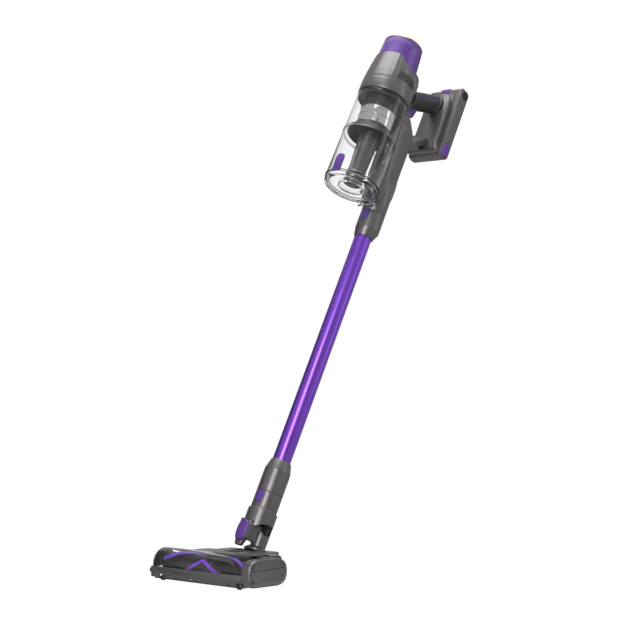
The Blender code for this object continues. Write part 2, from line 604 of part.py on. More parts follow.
def neck():
    # duct with two ears round the yoke; its top is cut on the slant, high in front
    duct = cylinder("neck_tube", DUCT_R, YOKE_R + 0.0030, SOCKET_Z - GAP, 32)
    ears = box("neck_ears", (-0.0205, -0.0085, -0.0085), (0.0205, 0.0085, YOKE_R + 0.0070), 0.0040, 2)
    boolean(duct, place(ears, parent=NECK_FRAME), "UNION")
    gap = box("ear_gap", (-BARREL_HALF - GAP * 2, -0.05, -0.05), (BARREL_HALF + GAP * 2, 0.05, YOKE_R + 0.0012))
    boolean(duct, place(gap, parent=NECK_FRAME))
    boolean(duct, place(cylinder("neck_pin_hole", PITCH_PIN_R + GAP, -0.05, 0.05, 16), parent=NECK_FRAME,
                        turn=X_AXIS))
    boolean(duct, place(cylinder("neck_duct", DUCT_R - DUCT_WALL, YOKE_R + 0.0060, 0.10, 28), parent=NECK_FRAME))
    slant = box("neck_slant", (-0.05, -0.0010, 0.0), (0.05, 0.06, 0.06))
    boolean(duct, place(slant, parent=NECK_FRAME, turn=(math.radians(-28), 0.0, 0.0),
                        at=(0.0, -0.0130, SOCKET_Z - 0.0030)))
    place(duct, GREY, parent=NECK_FRAME)

    # soft elbow hose seen in the slanted opening
    hose = turned("elbow_hose", [(HOSE_R, SOCKET_Z - 2 * GAP), (HOSE_R, 0.0300), (HOSE_R - 0.0015, 0.0300),
                                 (HOSE_R - 0.0015, SOCKET_Z - 2 * GAP)], 24)
    place(hose, BLACK, parent=NECK_FRAME)

    # socket above the hose, with the spigot that plugs into the wand
    wide = SOCKET_R
    bore = TUBE_R - 0.0022
    profile = [(TUBE_R, NECK_TOP_Z + SPIGOT_LENGTH), (TUBE_R, NECK_TOP_Z), (COLLAR_R, NECK_TOP_Z),
               (COLLAR_R, SOCKET_TOP_Z), (wide, SOCKET_TOP_Z - 0.0020), (wide, SOCKET_Z),
               (bore, SOCKET_Z), (bore, NECK_TOP_Z + SPIGOT_LENGTH)]
    socket = turned("neck_socket", profile, 36)
    pocket = button_shape("neck_button_pocket", COLLAR_R - 0.0055, COLLAR_R + 0.01, GAP * 1.5)
    boolean(socket, place(pocket, parent=WAND_FRAME, at=(0.0, 0.0, NECK_TOP_Z - 0.0008), turn=FACE_FRONT))
    place(socket, GREY, parent=WAND_FRAME)
    button = button_shape("neck_button", COLLAR_R - 0.0032, COLLAR_R + BUTTON_STAND, 0.0)
    boolean(button, place(cylinder("neck_button_face", COLLAR_R + BUTTON_STAND, 0.0, 0.2, 40),
                          parent=WAND_FRAME), "INTERSECT")
    place(button, PURPLE, parent=WAND_FRAME, at=(0.0, 0.0, NECK_TOP_Z - 0.0008), turn=FACE_FRONT)

    # front arm with the oval button; its tip drops into the head when the wand stands upright
    high = SOCKET_Z - GAP * 2
    side_line = [(ARM_BACK, high), (ARM_BACK, 0.0240), (ARM_BACK - 0.0025, ARM_LOW_Z), (-0.0350, ARM_LOW_Z),
                 (ARM_FRONT - 0.0022, 0.0240), (ARM_FRONT, high)]
    arm = slab("front_arm", [side_line], 2 * ARM_HALF_W, bevel=0.0015, segments=1)
    face = rounded(-ARM_HALF_W, ARM_HALF_W, 0.0150, 0.2, (0.0110, 0.0110, 0.001, 0.001), 6)
    foot = rounded(-0.0080, 0.0080, 0.0, 0.04, (0.002, 0.002, 0.001, 0.001), 2)
    shape = slab("arm_face", [face], 0.08)
    boolean(shape, place(slab("arm_foot", [foot], 0.08), parent=WAND_FRAME, turn=FACE_FRONT), "UNION")
    boolean(arm, place(shape, parent=WAND_FRAME, turn=FACE_FRONT), "INTERSECT")
    oval_hole = cylinder("oval_pocket", OVAL_HALF_H + GAP, 0.0, 0.03, 32, stretch=OVAL_HALF_W / OVAL_HALF_H)
    boolean(arm, place(oval_hole, parent=WAND_FRAME, turn=FACE_FRONT, at=(0.0, ARM_FRONT + 0.0060, OVAL_Z)))
    place(arm, GREY, parent=WAND_FRAME, turn=FACE_SIDE)
    oval = cylinder("head_release_button", OVAL_HALF_H - GAP, 0.0, 0.0105, 32,
                    stretch=(OVAL_HALF_W - GAP) / (OVAL_HALF_H - GAP))
    place(oval, PURPLE, parent=WAND_FRAME, turn=FACE_FRONT, at=(0.0, ARM_FRONT + 0.0052, OVAL_Z))


def button_shape(name, low, high, grow):
    """A D-shaped button: flat top at zero, round bottom, standing out towards the front."""
    half = BUTTON_HALF_W + grow
    line = ([(half, grow), (-half, grow)]
            + arc(0.0, -BUTTON_HEIGHT + BUTTON_HALF_W, half, 180, 360, 10))
    obj = slab(name, [line], high - low)
    obj.data.transform(shift(0.0, 0.0, (high + low) / 2))
    return obj


def shift(x, y, z):
    from mathutils import Matrix
    return Matrix.Translation((x, y, z))


# ---------------------------------------------------------------- wand
def wand():
    tube = turned("wand_tube", [(TUBE_R, TUBE_TOP_Z), (TUBE_R, TUBE_LOW_Z), (TUBE_R - TUBE_WALL, TUBE_LOW_Z),
                                (TUBE_R - TUBE_WALL, TUBE_TOP_Z)], 36)
    place(tube, TUBE, parent=WAND_FRAME)

    bore = TUBE_R + GAP
    low = NECK_TOP_Z + GAP
    shoulder = LOWER_COLLAR_TOP_Z - 0.0205
    collar = turned("wand_lower_collar", [(bore + 0.0016, LOWER_COLLAR_TOP_Z), (COLLAR_R, shoulder),
                                          (COLLAR_R, low), (bore, low), (bore, LOWER_COLLAR_TOP_Z)], 36)
    place(collar, GREY, parent=WAND_FRAME)

    shoulder = UPPER_COLLAR_LOW_Z + 0.0170
    upper = turned("wand_upper_collar", [(0.0, WAND_TOP_Z), (UPPER_R, WAND_TOP_Z), (UPPER_R, shoulder),
                                         (TUBE_R + UPPER_BACK + 0.0014, UPPER_COLLAR_LOW_Z),
                                         (0.0, UPPER_COLLAR_LOW_Z)], 36, ring=False)
    boolean(upper, place(cylinder("wand_bore", bore, 0.5, 0.8, 36), parent=WAND_FRAME))
    top = WAND_BUTTON_TOP_Z
    front = UPPER_R - UPPER_BACK
    pocket = button_shape("wand_button_pocket", front - 0.0060, front + 0.01, GAP * 1.5)
    boolean(upper, place(pocket, parent=WAND_FRAME, at=(0.0, 0.0, top), turn=FACE_FRONT))
    place(upper, GREY, parent=WAND_FRAME, at=(0.0, UPPER_BACK, 0.0))
    button = button_shape("wand_button", front - 0.0020, front + BUTTON_STAND, 0.0)
    face = cylinder("wand_button_face", UPPER_R + BUTTON_STAND, 0.5, 0.8, 40)
    boolean(button, place(face, parent=WAND_FRAME, at=(0.0, UPPER_BACK, 0.0)), "INTERSECT")
    place(button, PURPLE, parent=WAND_FRAME, at=(0.0, 0.0, top), turn=FACE_FRONT)


# ---------------------------------------------------------------- main body
def cup_radius(z):
    share = (z - CUP_LOW_Z) / (CUP_TOP_Z - CUP_LOW_Z)
    return CUP_LOW_R + (CUP_TOP_R - CUP_LOW_R) * share


def housing_outer():
    return [(HOUSING_TOP_R, HOUSING_TOP_Z), (HOUSING_MID_R - 0.0052, HOUSING_TOP_Z - 0.0200),
            (HOUSING_MID_R - 0.0022, HOUSING_TOP_Z - 0.0420), (HOUSING_MID_R, HOUSING_LOW_Z + 0.0120),
            (HOUSING_LOW_R, HOUSING_LOW_Z)]


def spine():
    # side outline: round the inlet at the bottom, straight up behind the cup, then narrower behind the motor
    line = [(-0.0150, CUP_LOW_Z - 0.0017), (UPPER_R - 0.0010, 0.7400),
            (SPINE_BACK + 0.0030, 0.7680), (SPINE_BACK, 0.7850), (SPINE_BACK, 0.8800), (0.0130, 0.8990),
            (-0.0050, 0.9180), (SPINE_NARROW_BACK, 0.9350), (SPINE_NARROW_BACK, 0.9900),
            (SPINE_NARROW_BACK - 0.0060, SPINE_TOP_Z), (SPINE_WRAP - 0.0100, SPINE_TOP_Z),
            (SPINE_WRAP - 0.0100, CUP_LOW_Z + 0.0134)]
    body = slab("spine", [line], 2 * SPINE_HALF_W, bevel=0.0085, segments=3)
    inlet = turned("inlet", [(0.0, 0.7900), (0.0120, 0.7880), (UPPER_R, 0.7650), (UPPER_R, WAND_TOP_Z + GAP),
                             (0.0, WAND_TOP_Z + GAP)], 36, ring=False)
    boolean(body, place(inlet, parent=WAND_FRAME, at=(0.0, UPPER_BACK, 0.0)), "UNION")
    spigot = cylinder("inlet_spigot", TUBE_R, WAND_TOP_Z - 0.0220, WAND_TOP_Z + 0.010, 36)
    boolean(body, place(spigot, parent=WAND_FRAME), "UNION")
    duct = cylinder("inlet_duct", TUBE_R - 0.0022, 0.60, 0.7600, 28)
    boolean(body, place(duct, parent=WAND_FRAME))
    port = cylinder("inlet_port", 0.0125, 0.0, 0.0600, 24)
    boolean(body, place(port, parent=WAND_FRAME, turn=(math.radians(48), 0.0, 0.0), at=(0.0, 0.0010, 0.7500)))
    reach = GAP + 0.0004
    seat = turned("cup_seat", [(0.0, 1.10), (HOUSING_TOP_R + reach - 0.004, 1.10)]
                  + [(r + reach, z) for r, z in housing_outer()]
                  + [(CUP_TOP_R + reach, CUP_TOP_Z), (CUP_LOW_R + reach, CUP_LOW_Z),
                     (CUP_LOW_R + reach, 0.60), (0.0, 0.60)], 48, ring=False)
    boolean(body, place(seat, parent=WAND_FRAME, at=CUP_AXIS))
    for side in (-1, 1):
        side_cut = [(side * 0.06, 0.8850), (side * 0.06, 1.10), (side * TOWER_HALF_W, 1.10), (side * TOWER_HALF_W, 0.9250),
                    (side * (SPINE_HALF_W + 0.0020), 0.8790)]
        boolean(body, place(slab("tower_side", [side_cut], 0.30), parent=WAND_FRAME, turn=FACE_FRONT))
    place(body, GREY, parent=WAND_FRAME, turn=FACE_SIDE)


def motor_unit():
    inner = [(r - HOUSING_WALL, z) for r, z in reversed(housing_outer())]
    housing = turned("motor_housing", housing_outer() + inner, 40)
    for low, high in (((-0.10, -0.0400, HOUSING_SIDE_Z), (0.10, 0.10, 1.0)),
                      ((TONGUE_HALF_W, -0.10, HOUSING_SIDE_Z), (0.10, 0.0, 1.0)),
                      ((-0.10, -0.10, HOUSING_SIDE_Z), (-TONGUE_HALF_W, 0.0, 1.0))):
        boolean(housing, place(box("housing_step", low, high), parent=WAND_FRAME, at=CUP_AXIS))
    place(housing, GREY, parent=WAND_FRAME, at=CUP_AXIS)

    # perforated panel let into the housing's right side
    vent_r = HOUSING_MID_R - 0.0006
    arc_line = arc(0.0, 0.0, vent_r + 0.0006, -34, 23, 12) + arc(0.0, 0.0, vent_r, 23, -34, 12)
    panel = slab("vent_panel", [arc_line], 0.0190)
    place(panel, DARK, parent=WAND_FRAME, at=(0.0, -CUP_FORWARD, 0.9505))

    motor = turned("fan_motor", [(0.0, 0.9560), (0.0100, 0.9560), (MOTOR_R, 0.9500), (MOTOR_R, 0.9260),
                                 (0.0, 0.9260)], 24, ring=False)
    place(motor, DARK, parent=WAND_FRAME, at=CUP_AXIS)
    blades = 7
    hub, rim = 0.0070, 0.0235
    fan = turned("impeller", [(0.0, 0.9254), (rim, 0.9254), (rim, 0.9240), (hub, 0.9205), (hub, 0.9150),
                              (0.0, 0.9150)], 24, ring=False)
    for i in range(blades):
        blade = box("blade", (0.0050, -0.0005, 0.9180), (rim - 0.001, 0.0005, 0.9248))
        boolean(fan, place(blade, parent=WAND_FRAME, at=CUP_AXIS, turn=(0.0, 0.0, 2 * math.pi * i / blades)),
                "UNION")
    place(fan, STEEL, parent=WAND_FRAME, at=CUP_AXIS)

    # filter cap: a tapered drum with a gold ring round its top, holding the pleated filter
    low_r = CAP_TOP_R + (CAP_TOP_Z - CAP_LOW_Z) * CAP_SLOPE
    crown = CAP_TOP_Z - 0.0025
    cap = turned("filter_cap", [(0.0, crown - 0.0020), (CAP_TOP_R - 0.0040, crown - 0.0020),
                                (CAP_TOP_R - 0.0040, crown - GAP), (CAP_TOP_R, crown - GAP), (low_r, CAP_LOW_Z),
                                (low_r - CAP_WALL, CAP_LOW_Z), (CAP_TOP_R - CAP_WALL - 0.0008, crown - 0.0042),
                                (0.0, crown - 0.0042)], 40, ring=False)
    place(cap, PURPLE, parent=WAND_FRAME, at=CUP_AXIS)
    ring = turned("cap_ring", [(CAP_TOP_R - 0.0032, CAP_TOP_Z), (CAP_TOP_R - 0.0008, CAP_TOP_Z),
                               (CAP_TOP_R, crown + 0.0008), (CAP_TOP_R, crown), (CAP_TOP_R - 0.0036, crown)], 40)
    place(ring, GOLD, parent=WAND_FRAME, at=CUP_AXIS)
    filt = turned("hepa_filter", [(FILTER_R, crown - 0.0046), (FILTER_R, CAP_LOW_Z + 0.0030),
                                  (FILTER_R - 0.010, CAP_LOW_Z + 0.0030), (FILTER_R - 0.010, crown - 0.0046)], 28)
    place(filt, PAPER, parent=WAND_FRAME, at=CUP_AXIS)


def dust_cup():
    # clear cup, open at both ends, with the inlet port through its back and lugs for the lid hinge
    wall = CUP_WALL
    cup = turned("dust_cup", [(CUP_TOP_R, CUP_TOP_Z), (CUP_LOW_R, CUP_LOW_Z), (CUP_LOW_R - wall, CUP_LOW_Z),
                              (CUP_TOP_R - wall, CUP_TOP_Z)], 48)
    for side in (-1, 1):
        ends = sorted((side * KNUCKLE_IN, side * KNUCKLE_OUT))
        lug = box("cup_lug", (ends[0], -HINGE_FORWARD - HINGE_R, HINGE_Z - HINGE_R),
                  (ends[1], -HINGE_FORWARD + HINGE_R, CUP_LOW_Z + 0.0016), 0.0010, 2)
        boolean(cup, place(lug, parent=WAND_FRAME), "UNION")
    bore = turned("cup_bore", [(0.0, CUP_LOW_Z + 0.02), (CUP_LOW_R - wall - 0.0002, CUP_LOW_Z + 0.02),
                               (CUP_LOW_R - wall - 0.0001, CUP_LOW_Z - 0.0002), (0.0, CUP_LOW_Z - 0.0002)], 48, ring=False)
    boolean(cup, place(bore, parent=WAND_FRAME, at=CUP_AXIS))
    port = cylinder("cup_port", 0.0125, 0.0, 0.0800, 24)
    boolean(cup, place(port, parent=WAND_FRAME, turn=(math.radians(48), 0.0, 0.0), at=(0.0, 0.0010, 0.7500)))
    pin = cylinder("lid_pin_hole", HINGE_PIN_R + GAP, -0.05, 0.05, 12)
    boolean(cup, place(pin, parent=WAND_FRAME, turn=X_AXIS, at=(0.0, -HINGE_FORWARD, HINGE_Z)))
    place(cup, CLEAR, parent=WAND_FRAME, at=CUP_AXIS)

    r = cup_radius(RING_Z) + GAP
    ring = turned("cup_ring", [(r + 0.0012, RING_Z + RING_H / 2), (r + 0.0012, RING_Z - RING_H / 2),
                               (r + 0.0003, RING_Z - RING_H / 2), (r + 0.0003, RING_Z + RING_H / 2)], 48)
    boolean(ring, place(box("ring_gap", (-SPINE_HALF_W - 0.004, -0.0460, 0.8), (SPINE_HALF_W + 0.004, 0.0, 0.9)),
                        parent=WAND_FRAME))
    place(ring, CLEAR, parent=WAND_FRAME, at=CUP_AXIS)

    # hinged clear lid with a locating rib, its rubber seal and the hinge pin
    top = CUP_LOW_Z - GAP
    low = top - LID_T
    seal_r = CUP_LOW_R - wall - 0.0022
    lid = turned("cup_lid", [(0.0, low + 0.0035), (0.0235, low + 0.0035), (0.0235, top + 0.0030),
                             (0.0250, top + 0.0030), (0.0250, low + 0.0035), (seal_r - 0.0045, low + 0.0035),
                             (seal_r - 0.0045, top + 0.0005), (seal_r - 0.0030, top + 0.0005),
                             (seal_r - 0.0030, top - 0.0020),
                             (LID_R, top - 0.0020), (LID_R, low + 0.0030), (LID_R - 0.0050, low), (0.0, low)], 48, ring=False)
    knuckle = box("lid_knuckle", (-KNUCKLE_IN + 2 * GAP, -HINGE_FORWARD - HINGE_R, HINGE_Z - HINGE_R),
                  (KNUCKLE_IN - 2 * GAP, -HINGE_FORWARD + HINGE_R * 0.6, low + 0.0050), 0.0012, 2)
    boolean(lid, place(knuckle, parent=WAND_FRAME), "UNION")
    for side in (-1, 1):
        ends = sorted((side * (KNUCKLE_IN - GAP), side * (KNUCKLE_OUT + 0.0006)))
        relief = box("lug_relief", (ends[0], -HINGE_FORWARD - HINGE_R - 0.0016, 0.69), (ends[1], 0.0, 0.73))
        boolean(lid, place(relief, parent=WAND_FRAME))
    boolean(lid, place(cylinder("knuckle_hole", HINGE_PIN_R + GAP, -0.05, 0.05, 12), parent=WAND_FRAME,
                       turn=X_AXIS, at=(0.0, -HINGE_FORWARD, HINGE_Z)))
    place(lid, CLEAR, parent=WAND_FRAME, at=CUP_AXIS)
    seal = turned("lid_seal", [(seal_r, top + 0.0004), (seal_r, top - 0.0017), (seal_r - 0.0027, top - 0.0017),
                               (seal_r - 0.0027, top + 0.0004)], 40)
    place(seal, RUBBER, parent=WAND_FRAME, at=CUP_AXIS)
    place(cylinder("lid_pin", HINGE_PIN_R, -KNUCKLE_OUT, KNUCKLE_OUT, 12), STEEL, parent=WAND_FRAME,
          turn=X_AXIS, at=(0.0, -HINGE_FORWARD, HINGE_Z))

    # arch-shaped latch on the front of the cup
    half, height, foot = 0.0088, 0.0375, CUP_LOW_Z - 0.0050
    arch = [(half, 0.0), (half, height - half)] + arc(0.0, height - half, half, 0, 180, 10)[1:] + [(-half, 0.0)]
    latch = slab("cup_latch", [arch], 0.0300)
    shell = [(CUP_LOW_R + 0.0036, 0.80), (CUP_LOW_R + 0.0036, 0.70), (CUP_LOW_R + 0.0008, 0.70),
             (CUP_LOW_R + 0.0008, 0.80)]
    boolean(latch, place(turned("latch_shell", shell, 48), parent=WAND_FRAME, at=CUP_AXIS), "INTERSECT")
    place(latch, PURPLE, parent=WAND_FRAME, turn=FACE_FRONT, at=(0.0, -CUP_FORWARD - CUP_LOW_R, foot))


def cyclone():
    # dark funnel with the coarse filter, shroud band, metal screen, skirt and cone
    funnel = turned("pre_filter", [(FUNNEL_R, CUP_TOP_Z - 0.0006), (FUNNEL_R, CUP_TOP_Z - 0.0026),
                                   (MESH_R + 0.0030, BAND_TOP_Z), (MESH_R - 0.0060, BAND_TOP_Z),
                                   (MESH_R - 0.0060, CUP_TOP_Z - 0.0006)], 36)
    place(funnel, DARK, parent=WAND_FRAME, at=CUP_AXIS)
    band = turned("shroud_band", [(MESH_R + 0.0012, BAND_TOP_Z - GAP), (MESH_R + 0.0012, MESH_TOP_Z + GAP),
                                  (MESH_R - 0.0012, MESH_TOP_Z + GAP), (MESH_R - 0.0012, BAND_TOP_Z - GAP)], 36)
    place(band, GREY, parent=WAND_FRAME, at=CUP_AXIS)
    screen = turned("mesh_screen", [(MESH_R, MESH_TOP_Z), (MESH_R, MESH_LOW_Z), (MESH_R - 0.0010, MESH_LOW_Z),
                                    (MESH_R - 0.0010, MESH_TOP_Z)], 36)
    place(screen, CHROME, parent=WAND_FRAME, at=CUP_AXIS)
    skirt = turned("cyclone_skirt", [(MESH_R + 0.0010, MESH_LOW_Z - GAP), (MESH_R + 0.0015, SKIRT_Z + 0.0160),
                                     (SKIRT_R, SKIRT_Z), (SKIRT_R - 0.0018, SKIRT_Z),
                                     (MESH_R - 0.0010, SKIRT_Z + 0.0155), (CONE_TOP_R + 0.0006, SKIRT_Z + 0.0180),
                                     (CONE_TOP_R + 0.0006, MESH_LOW_Z - GAP)], 40)
    place(skirt, DARK, parent=WAND_FRAME, at=CUP_AXIS)
    wall = 0.0016
    cone = turned("cyclone_cone", [(CONE_TOP_R, MESH_LOW_Z + 0.0300), (CONE_TOP_R, CONE_TOP_Z),
                                   (CONE_TOP_R - 0.0015, CONE_TOP_Z - 0.0080), (CONE_LOW_R, 0.7480),
                                   (CONE_LOW_R + 0.0012, 0.7470), (CONE_LOW_R + 0.0012, CONE_LOW_Z + 0.0040),
                                   (OUTLET_R, CONE_LOW_Z), (OUTLET_R - 0.0030, CONE_LOW_Z),
                                   (CONE_LOW_R - wall, 0.7480),
                                   (CONE_TOP_R - wall - 0.0010, CONE_TOP_Z - 0.0080),
                                   (CONE_TOP_R - wall, MESH_LOW_Z + 0.0300)], 32)
    place(cone, GREY, parent=WAND_FRAME, at=CUP_AXIS)


def handle():
    rise = (math.cos(STRUT_SLOPE), math.sin(STRUT_SLOPE))
    lie = (STRUT_SLOPE - math.pi / 2, 0.0, 0.0)       # lays a cylinder's Z back along the slope

    # grip, cut square to the spine and to the dock
    grip = cylinder("grip", GRIP_HALF_H, -0.05, 0.14, 32, stretch=GRIP_HALF_W / GRIP_HALF_H)
    window = box("grip_span", (-0.05, SPINE_NARROW_BACK + GAP, 0.85), (0.05, DOCK_FRONT - GAP, 1.10))
    boolean(grip, place(window, parent=WAND_FRAME), "INTERSECT")
    pocket = box("trigger_pocket", (-TRIGGER_HALF_W - 2 * GAP, -0.0060, 0.90),
                 (TRIGGER_HALF_W + 2 * GAP, 0.0165, TRIGGER_PIVOT_Z + 0.0055))
    boolean(grip, place(pocket, parent=WAND_FRAME))
    place(grip, SOFT, parent=WAND_FRAME, turn=lie, at=(0.0, SPINE_NARROW_BACK, GRIP_Z))

    # trigger: hangs from its pivot at the front, below the grip
    y, z = TRIGGER_PIVOT_BACK, TRIGGER_PIVOT_Z
    line = (arc(0.0, 0.0, 0.0026, 100, 260, 6) + [(-0.0016, -0.0160)]
            + arc(0.0048, -0.0225, 0.0068, 185, 330, 6) + [(0.0150, -0.0080), (0.0140, -0.0020)])
    place(slab("trigger", [line], 2 * TRIGGER_HALF_W, bevel=0.0012, segments=2), PURPLE, parent=WAND_FRAME,
          turn=FACE_SIDE, at=(0.0, y, z))

    # dock bar that carries the battery, and the lower strut back to the spine
    depth = BATTERY_FRONT - GAP - DOCK_FRONT
    outline = [(DOCK_FOOT_HALF_W, DOCK_LOW_Z), (DOCK_HALF_W, DOCK_LOW_Z + 0.0200)]
    outline += arc(DOCK_HALF_W - 0.0200, DOCK_TOP_Z - 0.0200, 0.0200, 0, 90, 6)
    outline += [(-x, z) for x, z in reversed(outline)]
    dock = slab("dock_bar", [outline], depth, bevel=0.0030, segments=2)
    place(dock, GREY, parent=WAND_FRAME, turn=FACE_FRONT, at=(0.0, DOCK_FRONT + depth / 2, 0.0))
    strut = box("lower_strut", (-STRUT_W / 2, -0.03, -STRUT_H / 2), (STRUT_W / 2, 0.12, STRUT_H / 2), 0.0040, 2)
    span = box("strut_span", (-0.05, SPINE_BACK + GAP, 0.80), (0.05, DOCK_FRONT - GAP, 1.0))
    boolean(strut, place(span, parent=WAND_FRAME), "INTERSECT")
    place(strut, GREY, parent=WAND_FRAME, turn=(STRUT_SLOPE, 0.0, 0.0), at=(0.0, SPINE_BACK, STRUT_Z))


def battery():
    back = BATTERY_FRONT + BATTERY_T
    line = rounded(BATTERY_FRONT, back, BATTERY_LOW_Z, BATTERY_TOP_Z,
                   (BATTERY_ROUND * 0.6, BATTERY_ROUND, BATTERY_ROUND, BATTERY_ROUND * 0.6), 5)
    pack = slab("battery_pack", [line], 2 * BATTERY_HALF_W, bevel=0.0015, segments=2)
    top_pocket = box("top_button_pocket", (-PACK_BUTTON_HALF_W - GAP * 2, BATTERY_FRONT - 0.001, BATTERY_TOP_Z - 0.0110),
                     (PACK_BUTTON_HALF_W + GAP * 2, BATTERY_FRONT + 0.0122, BATTERY_TOP_Z + 0.01))
    boolean(pack, place(top_pocket, parent=WAND_FRAME))
    middle = BATTERY_FRONT + BATTERY_T / 2
    for side, name in ((-1, "left"), (1, "right")):
        hole = cylinder("side_pocket", SIDE_BUTTON_HALF_H + GAP, BATTERY_HALF_W - 0.0060, 0.06, 24,
                        stretch=(SIDE_BUTTON_HALF_W + GAP) / (SIDE_BUTTON_HALF_H + GAP))
        turn = (math.pi / 2, 0.0, side * math.pi / 2)
        boolean(pack, place(hole, parent=WAND_FRAME, turn=turn, at=(0.0, middle, SIDE_BUTTON_Z)))
        oval = cylinder(f"battery_clip_{name}", SIDE_BUTTON_HALF_H - GAP, BATTERY_HALF_W - 0.0030,
                        BATTERY_HALF_W + 0.0006, 24,
                        stretch=(SIDE_BUTTON_HALF_W - GAP) / (SIDE_BUTTON_HALF_H - GAP))
        place(oval, PURPLE, parent=WAND_FRAME, turn=turn, at=(0.0, middle, SIDE_BUTTON_Z))
    place(pack, GREY, parent=WAND_FRAME, turn=FACE_SIDE)
    button = box("battery_button", (-PACK_BUTTON_HALF_W, BATTERY_FRONT, BATTERY_TOP_Z - 0.0085),
                 (PACK_BUTTON_HALF_W, BATTERY_FRONT + 0.0115, BATTERY_TOP_Z + 0.0006), 0.0012, 2)
    place(button, PURPLE, parent=WAND_FRAME)


head_shells()
brush_drive()
head_wheels()
yoke()
neck()
wand()
spine()
motor_unit()
dust_cup()
cyclone()
handle()
battery()
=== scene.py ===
# Cordless stick vacuum cleaner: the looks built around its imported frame.
# Heights and places are metres in the wand's own frame: s to its right, b to its back, d up the wand.
import json
import math

import bmesh
import bpy
import numpy as np
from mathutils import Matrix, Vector


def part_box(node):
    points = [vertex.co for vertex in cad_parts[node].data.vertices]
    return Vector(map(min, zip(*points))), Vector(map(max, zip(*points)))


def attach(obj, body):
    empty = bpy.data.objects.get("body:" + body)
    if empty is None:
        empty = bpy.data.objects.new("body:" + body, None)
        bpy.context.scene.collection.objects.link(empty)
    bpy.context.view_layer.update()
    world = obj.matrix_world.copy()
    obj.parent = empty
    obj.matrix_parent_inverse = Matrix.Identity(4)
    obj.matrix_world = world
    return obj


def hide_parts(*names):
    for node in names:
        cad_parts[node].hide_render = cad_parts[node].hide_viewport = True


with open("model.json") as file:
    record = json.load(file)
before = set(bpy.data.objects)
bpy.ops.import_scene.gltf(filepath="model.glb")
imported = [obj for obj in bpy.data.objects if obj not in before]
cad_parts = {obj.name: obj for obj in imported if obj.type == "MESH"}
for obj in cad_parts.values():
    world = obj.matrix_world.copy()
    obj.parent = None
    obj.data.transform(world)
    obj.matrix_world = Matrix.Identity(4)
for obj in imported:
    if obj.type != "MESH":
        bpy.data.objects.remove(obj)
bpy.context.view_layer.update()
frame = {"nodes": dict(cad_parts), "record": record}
nodeBody = {node: body for body, nodes in frame["record"]["behaviour"]["bodies"].items() for node in nodes}
joints = {joint["name"]: joint for joint in frame["record"]["behaviour"]["joints"]}

# the two frames that pieces are drawn in
neckBack = 0.017
right = np.array(joints["neck_pitch"]["axis"], float)
up = np.array(joints["fan_spin"]["axis"], float)
back = np.cross(up, right)
wandBasis = (np.array(joints["neck_pitch"]["pos_m"], float) - back * neckBack, np.array([right, back, up]))
headBasis = (np.zeros(3), np.eye(3))
brushCentre = np.array(joints["brush_spin"]["pos_m"], float)


def alongX(y, z):
    # a frame whose height runs along the head's X, for what turns about a crosswise axle
    return np.array([0.0, y, z]), np.array([[0.0, 1.0, 0.0], [0.0, 0.0, 1.0], [1.0, 0.0, 0.0]])


# outline and surface helpers
def arcLine(x, y, radius, start, stop, count):
    turn = np.radians(np.linspace(start, stop, count))
    return np.stack([x + radius * np.cos(turn), y + radius * np.sin(turn)], -1)


def roundedLine(points, radius, steps=5, closed=True):
    # each corner becomes a quadratic curve between points at most half an edge away from it
    corner = np.asarray(points, float)
    before, after = np.roll(corner, 1, 0), np.roll(corner, -1, 0)
    if not closed:
        before[0], after[-1] = corner[0], corner[-1]
    reach = np.broadcast_to(radius, len(corner))[:, None]

    def toward(other):
        gap = other - corner
        length = np.maximum(np.linalg.norm(gap, axis=1, keepdims=True), 1e-9)
        return corner + gap / length * np.minimum(reach, 0.48 * length)

    share = np.linspace(0.0, 1.0, steps)[None, :, None]
    start, stop = toward(before)[:, None], toward(after)[:, None]
    curve = (1 - share) ** 2 * start + 2 * share * (1 - share) * corner[:, None] + share ** 2 * stop
    if closed:
        return curve.reshape(-1, 2)
    return np.concatenate([corner[:1], curve[1:-1].reshape(-1, 2), corner[-1:]])


def box2d(x0, x1, y0, y1):
    return [(x0, y0), (x1, y0), (x1, y1), (x0, y1)]


def resample(line, spacing, closed=True):
    # evenly spaced points along a line, so that surfaces can follow curved walls between corners
    line = np.asarray(line, float)
    ends = np.concatenate([line, line[:1]]) if closed else line
    run = np.concatenate([[0.0], np.cumsum(np.linalg.norm(np.diff(ends, axis=0), axis=1))])
    extra = np.arange(0.0, run[-1], spacing)
    where = np.unique(np.concatenate([run[:-1] if closed else run, extra]))
    return np.stack([np.interp(where, run, ends[:, 0]), np.interp(where, run, ends[:, 1])], -1)


